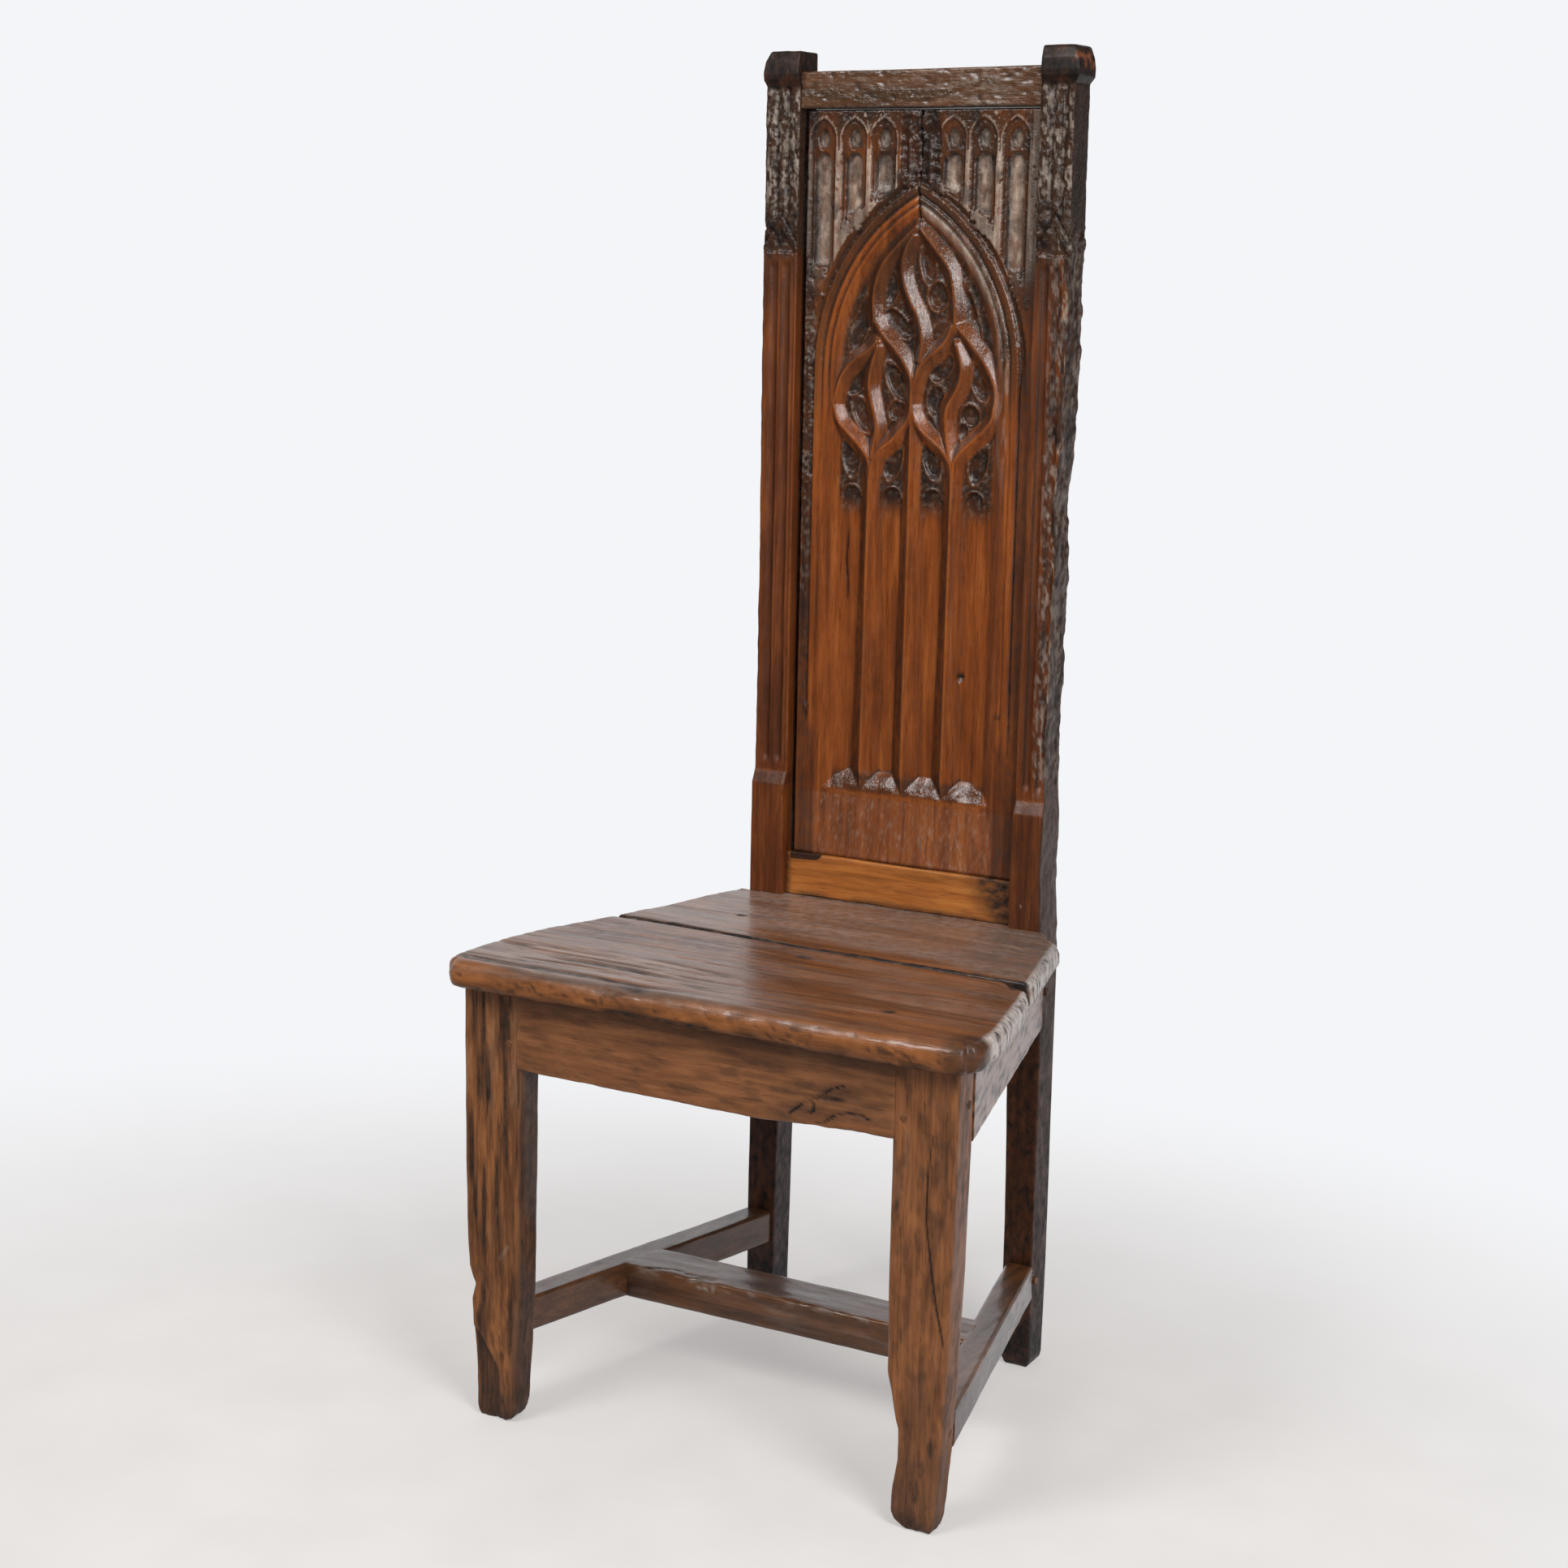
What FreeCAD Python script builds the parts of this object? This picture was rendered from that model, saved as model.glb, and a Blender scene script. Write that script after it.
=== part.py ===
import FreeCAD, Part
import os

import Sketcher

# Driving dimensions, in millimetres. The floor is Z = 0, the front of the chair faces -Y,
# and the origin lies on the floor under the middle of the whole chair.
SIZES = {
    # The whole frame
    "front_width": 528,
    "back_width": 341,
    "base_depth": 430,
    # Front legs
    "leg_width": 64,
    "leg_depth": 33,
    "leg_height": 440,
    "leg_edge_radius": 4,
    # Back posts
    "post_width": 39,
    "post_depth": 38,
    "post_height": 1333,
    "post_foot_bevel": 2,
    "plinth_projection": 6.5,
    "plinth_rise": 131.5,
    "plinth_slope": 14,
    "flute_radius": 4,
    "flute_margin": 10,
    "gablet_drop": 195,
    "gablet_rise": 38,
    "gablet_band": 12,
    "gablet_projection": 3.5,
    "colonnette_radius": 6,
    "colonnette_sink": 3,
    "ring_radius": 8,
    "ring_height": 6,
    "ring_drop": 67,
    "cap_height": 28,
    "cap_projection": 4,
    "cap_side_projection": 2,
    "cap_chamfer": 5,
    "drip_height": 6,
    # Aprons under the seat
    "apron_height": 74,
    "apron_thickness": 22,
    # Stretchers
    "stretcher_top": 112,
    "stretcher_height": 36,
    "stretcher_width": 30,
    "cross_width": 56,
    "cross_place": 208,
    # Seat boards
    "seat_thickness": 28.5,
    "seat_nose": 25,
    "seat_overhang": 14,
    "seat_joint_place": 204,
    "seat_joint_skew": 15,
    "seat_joint_gap": 1.5,
    "seat_corner_radius": 26,
    "seat_edge_radius": 10,
    "tongue_width": 24,
    "tongue_thickness": 7,
    "tongue_setback": 8,
    "seat_dowel_diameter": 10,
    "seat_dowel_rise": 14,
    "seat_dowel_drop": 22,
    "front_dowel_place": 120,
    "rear_dowel_place": 70,
    # Rails of the back
    "rail_setback": 4,
    "rail_thickness": 26,
    "top_rail_drop": 20,
    "top_rail_height": 37,
    "lower_rail_height": 45,
    "slip_start": 5,
    "slip_length": 37,
    "slip_height": 6.5,
    "slip_depth": 4,
    # Panel of the back and its carving
    "panel_recess": 4,
    "panel_thickness": 20,
    "panel_gap": 0.8,
    "panel_tongue": 8,
    "groove_depth": 6,
    "arch_margin": 17.5,
    "arch_springing_drop": 256,
    "arch_rise": 185,
    "moulding_width": 10,
    "moulding_depth": 2.5,
    "tracery_margin": 3,
    "tracery_base_drop": 371,
    "tracery_apex_drop": 116,
    "tracery_depth": 11,
    "sill_rise": 69.5,
    "lancet_margin": 9,
    "lancet_width": 21,
    "lancet_head": 22,
    "lancet_top_margin": 8,
    "lancet_foot_margin": 7,
    "lancet_depth": 8,
    # Joints
    "tenon_thickness": 10,
    "tenon_shoulder": 10,
    "side_tenon_length": 20,
    "rail_tenon_length": 20,
    "mortise_wall": 5,
    "mortise_end_gap": 1.5,
    "peg_diameter": 8,
    "peg_inset": 11,
    "peg_bite": 3,
    "apron_peg_place": 21,
    "joint_clearance": 0.15,
    "cut_overrun": 2,
}

ARCH_MOULDINGS = 2
LANCETS_EACH_SIDE = 3
FLUTE_SHARES = (0.33, 0.67)

# Outlines of the tracery openings: the lower tip, the left side upwards, the upper tip and the right side
# downwards, as shares of the tracery's half width from the middle line and of its height from base to apex.
# The openings of the left half are repeated on the right.
PEAR_OUTER_SHARES = (
    (-0.53, 0.16),
    ((-0.74, 0.28), (-0.77, 0.35)),
    (-0.57, 0.475),
    ((-0.58, 0.39), (-0.56, 0.31), (-0.49, 0.22)),
)
PEAR_INNER_SHARES = (
    (-0.31, 0.19),
    ((-0.28, 0.24), (-0.31, 0.32), (-0.36, 0.41)),
    (-0.35, 0.50),
    ((-0.11, 0.40), (-0.10, 0.31)),
)
ARCH_SIDE_SHARES = ((-0.78, 0.51), ((-0.72, 0.64),), (-0.60, 0.755), ((-0.58, 0.62),))
MIDDLE_LEFT_SHARES = (
    (0.0, 0.46),
    ((-0.22, 0.56), (-0.43, 0.64)),
    (-0.15, 0.90),
    ((-0.18, 0.80), (-0.08, 0.70), (0.10, 0.57)),
)
MIDDLE_RIGHT_SHARES = (
    (0.31, 0.575),
    ((0.22, 0.67), (0.09, 0.76), (0.0, 0.86)),
    (0.06, 0.945),
    ((0.37, 0.80), (0.40, 0.69)),
)
# The heads of the two left-hand lights by the same shares: the tip, a point of the curve and its heel
LIGHT_HEAD_SHARES = (
    ((-0.88, 0.22), (-0.70, 0.155), (-0.60, 0.04)),
    ((-0.10, 0.155), (-0.24, 0.115), (-0.40, 0.02)),
)

doc = FreeCAD.newDocument("gothic_chair")
sheet = doc.addObject("Spreadsheet::Sheet", "Sizes")
for row, (alias, number) in enumerate(SIZES.items(), start=1):
    sheet.set(f"A{row}", alias)
    sheet.set(f"B{row}", str(number))
    sheet.setAlias(f"B{row}", alias)
doc.recompute()

# Places that several pieces share, as expressions of the sheet's cells
FRONT_Y = "(Sizes.seat_nose - Sizes.base_depth) / 2"
LEG_BACK_Y = f"({FRONT_Y} + Sizes.leg_depth)"
POST_BACK_Y = "((Sizes.seat_nose + Sizes.base_depth) / 2)"
SHAFT_Y = f"({POST_BACK_Y} - Sizes.post_depth)"
PLINTH_Y = f"({SHAFT_Y} - Sizes.plinth_projection)"
LEG_INNER_X = "(Sizes.front_width / 2 - Sizes.leg_width)"
POST_INNER_X = "(Sizes.back_width / 2 - Sizes.post_width)"
POST_MIDDLE_X = "(Sizes.back_width / 2 - Sizes.post_width / 2)"
SEAT_TOP = "(Sizes.leg_height + Sizes.seat_thickness)"
APRON_FOOT = "(Sizes.leg_height - Sizes.apron_height)"
STRETCHER_FOOT = "(Sizes.stretcher_top - Sizes.stretcher_height)"
SLOPE = f"((Sizes.front_width - Sizes.back_width) / 2 / ({SHAFT_Y} - {LEG_BACK_Y}))"
RAIL_Y = f"({SHAFT_Y} + Sizes.rail_setback)"
RAIL_MIDDLE_Y = f"({RAIL_Y} + Sizes.rail_thickness / 2)"
RAIL_BACK_Y = f"({RAIL_Y} + Sizes.rail_thickness)"
LOWER_RAIL_TOP = f"({SEAT_TOP} + Sizes.lower_rail_height)"
TOP_RAIL_FOOT = "(Sizes.post_height - Sizes.top_rail_drop - Sizes.top_rail_height)"
PLINTH_TOP = f"({SEAT_TOP} + Sizes.plinth_rise)"
GABLET_FOOT = "(Sizes.post_height - Sizes.gablet_drop)"
PANEL_Y = f"({RAIL_Y} + Sizes.panel_recess)"
REAR_APRON_MIDDLE_Y = f"({RAIL_Y} + Sizes.apron_thickness / 2)"
CORNER_TENON_TAKE = "(Sizes.apron_thickness / 2 + Sizes.tenon_thickness / 2 + Sizes.mortise_wall)"
FRONT_TENON_LENGTH = f"(Sizes.leg_width - {CORNER_TENON_TAKE})"
REAR_TENON_LENGTH = f"(Sizes.post_width - {CORNER_TENON_TAKE})"
ROTATIONS = {
    "x": FreeCAD.Rotation(FreeCAD.Vector(0, 1, 0), 90),
    "-x": FreeCAD.Rotation(FreeCAD.Vector(0, 1, 0), -90),
    "y": FreeCAD.Rotation(FreeCAD.Vector(1, 0, 0), -90),
    "-y": FreeCAD.Rotation(FreeCAD.Vector(1, 0, 0), 90),
    "z": FreeCAD.Rotation(),
}


def size(expression):
    """The present value of an expression of the sheet's cells."""
    return float(sheet.evalExpression(expression))


def side_line(inset, y):
    """The X of the splayed side of the base at y, inset from its outer face."""
    return f"(Sizes.front_width / 2 - ({inset}) - {SLOPE} * (({y}) - {LEG_BACK_Y}))"


def new_body(label):
    """An empty body whose label names its piece."""
    body = doc.addObject("PartDesign::Body", label)
    body.Label = label
    return body


def place(feature, corner):
    """Bind where a feature starts."""
    for axis, expression in zip("xyz", corner):
        feature.setExpression(f"Placement.Base.{axis}", expression)


def block(body, way, name, corner, lengths):
    """A box added to a body or cut from it, with its corner and lengths bound."""
    feature = body.newObject(f"PartDesign::{way}Box", name)
    for side, expression in zip(("Length", "Width", "Height"), lengths):
        feature.setExpression(side, expression)
    place(feature, corner)
    return feature


def rod(body, way, name, start, axis, radius, length):
    """A cylinder added to a body or cut from it."""
    feature = body.newObject(f"PartDesign::{way}Cylinder", name)
    feature.Placement = FreeCAD.Placement(FreeCAD.Vector(), ROTATIONS[axis])
    feature.setExpression("Radius", radius)
    feature.setExpression("Height", length)
    place(feature, start)
    return feature


def across(half_length):
    """The X corner and X length of a bar that is centred on the middle plane."""
    return f"-({half_length})", f"2 * ({half_length})"


def mortise(body, name, corner, lengths, axis, way):
    """The mortise for a tenon's box that points along an axis (0, 1 or 2) one way (1 or -1)."""
    corner, lengths = list(corner), list(lengths)
    for each in range(3):
        if each == axis:
            before = "Sizes.cut_overrun" if way > 0 else "Sizes.mortise_end_gap"
            corner[each] = f"({corner[each]}) - {before}"
            lengths[each] = f"({lengths[each]}) + Sizes.cut_overrun + Sizes.mortise_end_gap"
        else:
            corner[each] = f"({corner[each]}) - Sizes.joint_clearance"
            lengths[each] = f"({lengths[each]}) + 2 * Sizes.joint_clearance"
    return block(body, "Subtractive", name, corner, lengths)


def outline(body, name, role, offset, loops):
    """A sketch of closed outlines of bound points: (x, y), or (x, y, radius of the arc that leaves it)."""
    sketch = body.newObject("Sketcher::SketchObject", name)
    plane = next(each for each in body.Origin.OriginFeatures if each.Role == role)
    sketch.AttachmentSupport = [(plane, "")]
    sketch.MapMode = "FlatFace"
    sketch.setExpression("AttachmentOffset.Base.z", offset)
    for points in loops:
        first = sketch.GeometryCount
        spots = [FreeCAD.Vector(size(point[0]), size(point[1]), 0) for point in points]
        for number, point in enumerate(points):
            start, end = spots[number], spots[(number + 1) % len(spots)]
            if len(point) == 2:
                sketch.addGeometry(Part.LineSegment(start, end))
            else:
                sketch.addGeometry(arc_between(start, end, size(point[2])))
        for number, point in enumerate(points):
            here = first + number
            following = first + (number + 1) % len(points)
            sketch.addConstraint(Sketcher.Constraint("Coincident", here, 2, following, 1))
            for axis, expression, number_now in zip("XY", point, spots[number]):
                constraint = Sketcher.Constraint(f"Distance{axis}", -1, 1, here, 1, number_now)
                bind(sketch, constraint, f"{axis.lower()}{here}", expression)
            if len(point) == 3:
                constraint = Sketcher.Constraint("Radius", here, size(point[2]))
                bind(sketch, constraint, f"radius{here}", point[2])
    return sketch


def bind(sketch, constraint, name, expression):
    """Add a named constraint and tie it to an expression."""
    number = sketch.addConstraint(constraint)
    sketch.renameConstraint(number, name)
    sketch.setExpression(f"Constraints.{name}", expression)


def arc_between(start, end, radius):
    """The short anticlockwise arc from start to end."""
    chord = end - start
    middle = (start + end) / 2
    to_centre = FreeCAD.Vector(-chord.y, chord.x, 0).normalize()
    reach = (radius**2 - (chord.Length / 2) ** 2) ** 0.5
    centre = middle + to_centre * reach
    circle = Part.Circle(centre, FreeCAD.Vector(0, 0, 1), radius)
    return Part.ArcOfCircle(circle, circle.parameter(start), circle.parameter(end))


def pad(body, name, sketch, length):
    """Raise a sketch along its normal."""
    feature = body.newObject("PartDesign::Pad", name)
    feature.Profile = sketch
    feature.setExpression("Length", length)
    return feature


def pocket(body, name, sketch, length):
    """Sink a sketch against its normal."""
    feature = body.newObject("PartDesign::Pocket", name)
    feature.Profile = sketch
    feature.setExpression("Length", length)
    return feature


def dress(body, kind, name, chosen, prop, expression):
    """Round or bevel the edges of a body's tip that a test chooses."""
    doc.recompute()
    base = body.Tip
    names = [f"Edge{n}" for n, edge in enumerate(base.Shape.Edges, start=1) if chosen(edge)]
    feature = body.newObject(f"PartDesign::{kind}", name)
    feature.Base = (base, names)
    feature.setExpression(prop, expression)
    return feature


def is_upright(edge):
    """Whether an edge runs straight up."""
    box = edge.BoundBox
    return box.XLength < box.ZLength / 1000 and box.YLength < box.ZLength / 1000


def lies_at_height(edge, height):
    """Whether a whole edge lies at one height."""
    box = edge.BoundBox
    return abs(box.ZMin - height) + abs(box.ZMax - height) < size("Sizes.joint_clearance")


def is_on_floor(edge):
    """Whether an edge bounds a foot."""
    return lies_at_height(edge, 0)


def is_post_top(edge):
    """Whether an edge bounds the top of a post's cap."""
    return lies_at_height(edge, size("Sizes.post_height"))


def is_seat_corner(edge):
    """Whether an edge is one of the two upright corners at the front of the seat."""
    return is_upright(edge) and edge.BoundBox.YMax < size(FRONT_Y)


def mirrored(source, label):
    """The left-hand piece of a right-hand one."""
    piece = doc.addObject("Part::Mirroring", label)
    piece.Source = source
    piece.Normal = FreeCAD.Vector(1, 0, 0)
    piece.Label = label
    return piece


def pegs(label, diameter, places):
    """Right-hand pegs, each (start, axis, length), and their mirror images, as one piece."""
    links = []
    for number, (start, axis, length) in enumerate(places, start=1):
        peg = doc.addObject("Part::Cylinder", f"{label}_right_{number}")
        peg.Placement = FreeCAD.Placement(FreeCAD.Vector(), ROTATIONS[axis])
        peg.setExpression("Radius", f"{diameter} / 2")
        peg.setExpression("Height", length)
        place(peg, start)
        links += [peg, mirrored(peg, f"{label}_left_{number}")]
    group = doc.addObject("Part::Compound", label)
    group.Links = links
    group.Label = label
    return group


# The right-hand members and the pegs of their joints, as expressions that both sides of a joint read
SIDE_TENON_FOOT = f"({APRON_FOOT} + Sizes.tenon_shoulder)"
APRON_TENON_HEIGHT = "(Sizes.apron_height - 2 * Sizes.tenon_shoulder)"
STRETCHER_TENON_FOOT = f"({STRETCHER_FOOT} + Sizes.tenon_shoulder)"
STRETCHER_TENON_HEIGHT = "(Sizes.stretcher_height - 2 * Sizes.tenon_shoulder)"
RAIL_TENON_Y = f"({RAIL_MIDDLE_Y} - Sizes.tenon_thickness / 2)"


def side_tenons(width, foot, height):
    """The boxes of a splayed member's two tenons, the front one pointing to -Y and the rear one to +Y."""
    front = f"{side_line(width + ' / 2', LEG_BACK_Y)} - Sizes.tenon_thickness / 2"
    rear = f"{side_line(width + ' / 2', SHAFT_Y)} - Sizes.tenon_thickness / 2"
    lengths = ("Sizes.tenon_thickness", "Sizes.side_tenon_length", height)
    return (
        ((front, f"{LEG_BACK_Y} - Sizes.side_tenon_length", foot), lengths),
        ((rear, SHAFT_Y, foot), lengths),
    )


def rail_tenon(y, foot, height, shoulder, reach):
    """The box of a cross member's right-hand tenon into a post or leg, from its shoulder outwards."""
    return (shoulder, y, foot), (reach, "Sizes.tenon_thickness", height)


APRON_TENONS = side_tenons("Sizes.apron_thickness", SIDE_TENON_FOOT, APRON_TENON_HEIGHT)
STRETCHER_TENONS = side_tenons("Sizes.stretcher_width", STRETCHER_TENON_FOOT, STRETCHER_TENON_HEIGHT)
FRONT_APRON_TENON = rail_tenon(
    f"{FRONT_Y} + (Sizes.apron_thickness - Sizes.tenon_thickness) / 2",
    SIDE_TENON_FOOT,
    APRON_TENON_HEIGHT,
    LEG_INNER_X,
    FRONT_TENON_LENGTH,
)
REAR_APRON_TENON = rail_tenon(
    f"{REAR_APRON_MIDDLE_Y} - Sizes.tenon_thickness / 2",
    SIDE_TENON_FOOT,
    APRON_TENON_HEIGHT,
    POST_INNER_X,
    REAR_TENON_LENGTH,
)
TOP_RAIL_TENON = rail_tenon(
    RAIL_TENON_Y,
    f"{TOP_RAIL_FOOT} + Sizes.tenon_shoulder",
    "Sizes.top_rail_height - 2 * Sizes.tenon_shoulder",
    POST_INNER_X,
    "Sizes.rail_tenon_length",
)
LOWER_RAIL_TENON = rail_tenon(
    RAIL_TENON_Y,
    f"{SEAT_TOP} + Sizes.tenon_shoulder",
    "Sizes.lower_rail_height - 2 * Sizes.tenon_shoulder",
    POST_INNER_X,
    "Sizes.rail_tenon_length",
)

APRON_MIDDLE_Z = f"({APRON_FOOT} + Sizes.apron_height / 2)"
STRETCHER_MIDDLE_Z = f"({STRETCHER_FOOT} + Sizes.stretcher_height / 2)"
LEG_PEG_Y = f"({LEG_BACK_Y} - Sizes.peg_inset)"
POST_PEG_Y = f"({SHAFT_Y} + Sizes.peg_inset)"
POST_PEG_X = f"({POST_INNER_X} + Sizes.peg_inset)"
PAST_TENON = "(Sizes.tenon_thickness / 2 + Sizes.peg_bite)"
APRON_SIDE_PEG = f"(Sizes.apron_thickness / 2 + {PAST_TENON})"
STRETCHER_SIDE_PEG = f"(Sizes.stretcher_width / 2 + {PAST_TENON})"
LEG_OUTER_X = "(Sizes.front_width / 2)"
POST_OUTER_X = "(Sizes.back_width / 2)"
FRONT_APRON_PEG = (
    (f"{LEG_INNER_X} + Sizes.peg_inset", FRONT_Y, f"{APRON_FOOT} + Sizes.apron_peg_place"),
    "y",
    f"Sizes.apron_thickness / 2 + {PAST_TENON}",
)
APRON_LEG_PEG = ((LEG_OUTER_X, LEG_PEG_Y, APRON_MIDDLE_Z), "-x", APRON_SIDE_PEG)
APRON_POST_PEG = ((POST_OUTER_X, POST_PEG_Y, APRON_MIDDLE_Z), "-x", APRON_SIDE_PEG)
STRETCHER_LEG_PEG = ((LEG_OUTER_X, LEG_PEG_Y, STRETCHER_MIDDLE_Z), "-x", STRETCHER_SIDE_PEG)
STRETCHER_POST_PEG = ((POST_OUTER_X, POST_PEG_Y, STRETCHER_MIDDLE_Z), "-x", STRETCHER_SIDE_PEG)
REAR_APRON_PEG = (
    (POST_PEG_X, POST_BACK_Y, APRON_MIDDLE_Z),
    "-y",
    f"{POST_BACK_Y} - {REAR_APRON_MIDDLE_Y} + {PAST_TENON}",
)
TOP_RAIL_PEG = (
    (POST_PEG_X, POST_BACK_Y, f"{TOP_RAIL_FOOT} + Sizes.top_rail_height / 2"),
    "-y",
    f"{POST_BACK_Y} - {RAIL_MIDDLE_Y} + {PAST_TENON}",
)
LOWER_RAIL_PEG = (
    (POST_PEG_X, PLINTH_Y, f"{SEAT_TOP} + Sizes.lower_rail_height / 2"),
    "y",
    f"{RAIL_MIDDLE_Y} - {PLINTH_Y} + {PAST_TENON}",
)
CROSS_MIDDLE_Y = f"({FRONT_Y} + Sizes.cross_place)"
CROSS_BACK_Y = f"({CROSS_MIDDLE_Y} + Sizes.cross_width / 2)"
CROSS_FRONT_Y = f"({CROSS_MIDDLE_Y} - Sizes.cross_width / 2)"
CROSS_ROOT_X = side_line("Sizes.stretcher_width", CROSS_BACK_Y)
CROSS_TENON_END = side_line("Sizes.stretcher_width / 2 - Sizes.peg_inset / 2", CROSS_MIDDLE_Y)
CROSS_TENON = (
    (CROSS_ROOT_X, f"{CROSS_MIDDLE_Y} - Sizes.cross_width / 4", STRETCHER_TENON_FOOT),
    (f"{CROSS_TENON_END} - {CROSS_ROOT_X}", "Sizes.cross_width / 2", STRETCHER_TENON_HEIGHT),
)
CROSS_PEG = (
    (side_line("Sizes.stretcher_width / 2", CROSS_MIDDLE_Y), CROSS_MIDDLE_Y, STRETCHER_FOOT),
    "z",
    f"{STRETCHER_TENON_FOOT} - {STRETCHER_FOOT} + {STRETCHER_TENON_HEIGHT} + Sizes.peg_bite",
)


def drill(body, name, peg, sides=(1,), diameter="Sizes.peg_diameter"):
    """The hole for a peg, also on the left for a piece that crosses the middle plane."""
    start, axis, length = peg
    for way in sides:
        here = (f"{way} * ({start[0]})", *start[1:])
        rod(body, "Subtractive", f"{name}_{'right' if way > 0 else 'left'}", here, axis,
            f"{diameter} / 2 + Sizes.joint_clearance", length)


def front_leg():
    """The right front leg: a plank with a mortise in its inner edge and two in its back."""
    body = new_body("front_leg_right")
    block(body, "Additive", "leg_stock", (LEG_INNER_X, FRONT_Y, "0"),
          ("Sizes.leg_width", "Sizes.leg_depth", "Sizes.leg_height"))
    dress(body, "Fillet", "leg_arrises", is_upright, "Radius", "Sizes.leg_edge_radius")
    dress(body, "Chamfer", "leg_foot", is_on_floor, "Size", "Sizes.leg_edge_radius / 2")
    mortise(body, "front_apron_mortise", *FRONT_APRON_TENON, axis=0, way=1)
    mortise(body, "side_apron_mortise", *APRON_TENONS[0], axis=1, way=-1)
    mortise(body, "side_stretcher_mortise", *STRETCHER_TENONS[0], axis=1, way=-1)
    drill(body, "front_apron_hole", FRONT_APRON_PEG)
    drill(body, "side_apron_hole", APRON_LEG_PEG)
    drill(body, "side_stretcher_hole", STRETCHER_LEG_PEG)
    return body


def back_post():
    """The right back post: rear leg, plinth, fluted shaft, gablet, pinnacle and cap in one length."""
    body = new_body("back_post_right")
    block(body, "Additive", "post_stock", (POST_INNER_X, SHAFT_Y, "0"),
          ("Sizes.post_width", "Sizes.post_depth", "Sizes.post_height"))
    dress(body, "Chamfer", "post_foot", is_on_floor, "Size", "Sizes.post_foot_bevel")
    plinth = outline(body, "plinth_profile", "YZ_Plane", POST_INNER_X, [[
        (f"{SHAFT_Y} + Sizes.cut_overrun", "Sizes.leg_height"),
        (f"{SHAFT_Y} + Sizes.cut_overrun", PLINTH_TOP),
        (SHAFT_Y, PLINTH_TOP),
        (PLINTH_Y, f"{PLINTH_TOP} - Sizes.plinth_slope"),
        (PLINTH_Y, "Sizes.leg_height"),
    ]])
    pad(body, "plinth", plinth, "Sizes.post_width")
    for number, share in enumerate(FLUTE_SHARES, start=1):
        middle = f"{POST_INNER_X} + {share} * Sizes.post_width"
        start = (middle, SHAFT_Y, f"{PLINTH_TOP} + Sizes.flute_margin")
        rod(body, "Subtractive", f"flute_{number}", start, "z", "Sizes.flute_radius",
            f"{GABLET_FOOT} - {PLINTH_TOP} - 2 * Sizes.flute_margin")
    carve_gablet(body)
    cap_foot = "(Sizes.post_height - Sizes.cap_height)"
    pinnacle = (POST_MIDDLE_X, f"{SHAFT_Y} + Sizes.colonnette_sink")
    rod(body, "Additive", "colonnette", (*pinnacle, GABLET_FOOT), "z", "Sizes.colonnette_radius",
        f"{cap_foot} - {GABLET_FOOT}")
    rod(body, "Additive", "ring", (*pinnacle, "Sizes.post_height - Sizes.ring_drop"), "z",
        "Sizes.ring_radius", "Sizes.ring_height")
    block(body, "Additive", "drip",
          (POST_INNER_X, f"{SHAFT_Y} - Sizes.cap_projection / 2", f"{cap_foot} - Sizes.drip_height"),
          ("Sizes.post_width", "Sizes.cap_projection", "Sizes.drip_height + Sizes.cut_overrun"))
    block(body, "Additive", "cap", (POST_INNER_X, f"{SHAFT_Y} - Sizes.cap_projection", cap_foot),
          ("Sizes.post_width + Sizes.cap_side_projection", "Sizes.post_depth + Sizes.cap_projection",
           "Sizes.cap_height"))
    dress(body, "Chamfer", "cap_bevel", is_post_top, "Size", "Sizes.cap_chamfer")
    groove_foot = f"({LOWER_RAIL_TOP} - Sizes.groove_depth)"
    block(body, "Subtractive", "panel_groove",
          (f"{POST_INNER_X} - Sizes.cut_overrun",
           f"{RAIL_MIDDLE_Y} - Sizes.panel_tongue / 2 - Sizes.joint_clearance", groove_foot),
          ("Sizes.groove_depth + Sizes.cut_overrun", "Sizes.panel_tongue + 2 * Sizes.joint_clearance",
           f"{TOP_RAIL_FOOT} + Sizes.groove_depth - {groove_foot}"))
    mortise(body, "top_rail_mortise", *TOP_RAIL_TENON, axis=0, way=1)
    mortise(body, "lower_rail_mortise", *LOWER_RAIL_TENON, axis=0, way=1)
    mortise(body, "rear_apron_mortise", *REAR_APRON_TENON, axis=0, way=1)
    mortise(body, "side_apron_mortise", *APRON_TENONS[1], axis=1, way=1)
    mortise(body, "side_stretcher_mortise", *STRETCHER_TENONS[1], axis=1, way=1)
    drill(body, "top_rail_hole", TOP_RAIL_PEG)
    drill(body, "lower_rail_hole", LOWER_RAIL_PEG)
    drill(body, "rear_apron_hole", REAR_APRON_PEG)
    drill(body, "side_apron_hole", APRON_POST_PEG)
    drill(body, "side_stretcher_hole", STRETCHER_POST_PEG)
    return body


def carve_gablet(body):
    """The raised chevron across the front of a post's shaft."""
    band = "Sizes.gablet_band"
    chevron = outline(body, "gablet_outline", "XZ_Plane", f"-({SHAFT_Y} + Sizes.cut_overrun)", [[
        (POST_INNER_X, GABLET_FOOT),
        (f"{POST_INNER_X} + {band} / 2", GABLET_FOOT),
        (POST_MIDDLE_X, f"{GABLET_FOOT} + Sizes.gablet_rise - {band}"),
        (f"{POST_OUTER_X} - {band} / 2", GABLET_FOOT),
        (POST_OUTER_X, GABLET_FOOT),
        (POST_MIDDLE_X, f"{GABLET_FOOT} + Sizes.gablet_rise"),
    ]])
    pad(body, "gablet", chevron, "Sizes.gablet_projection + Sizes.cut_overrun")


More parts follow.
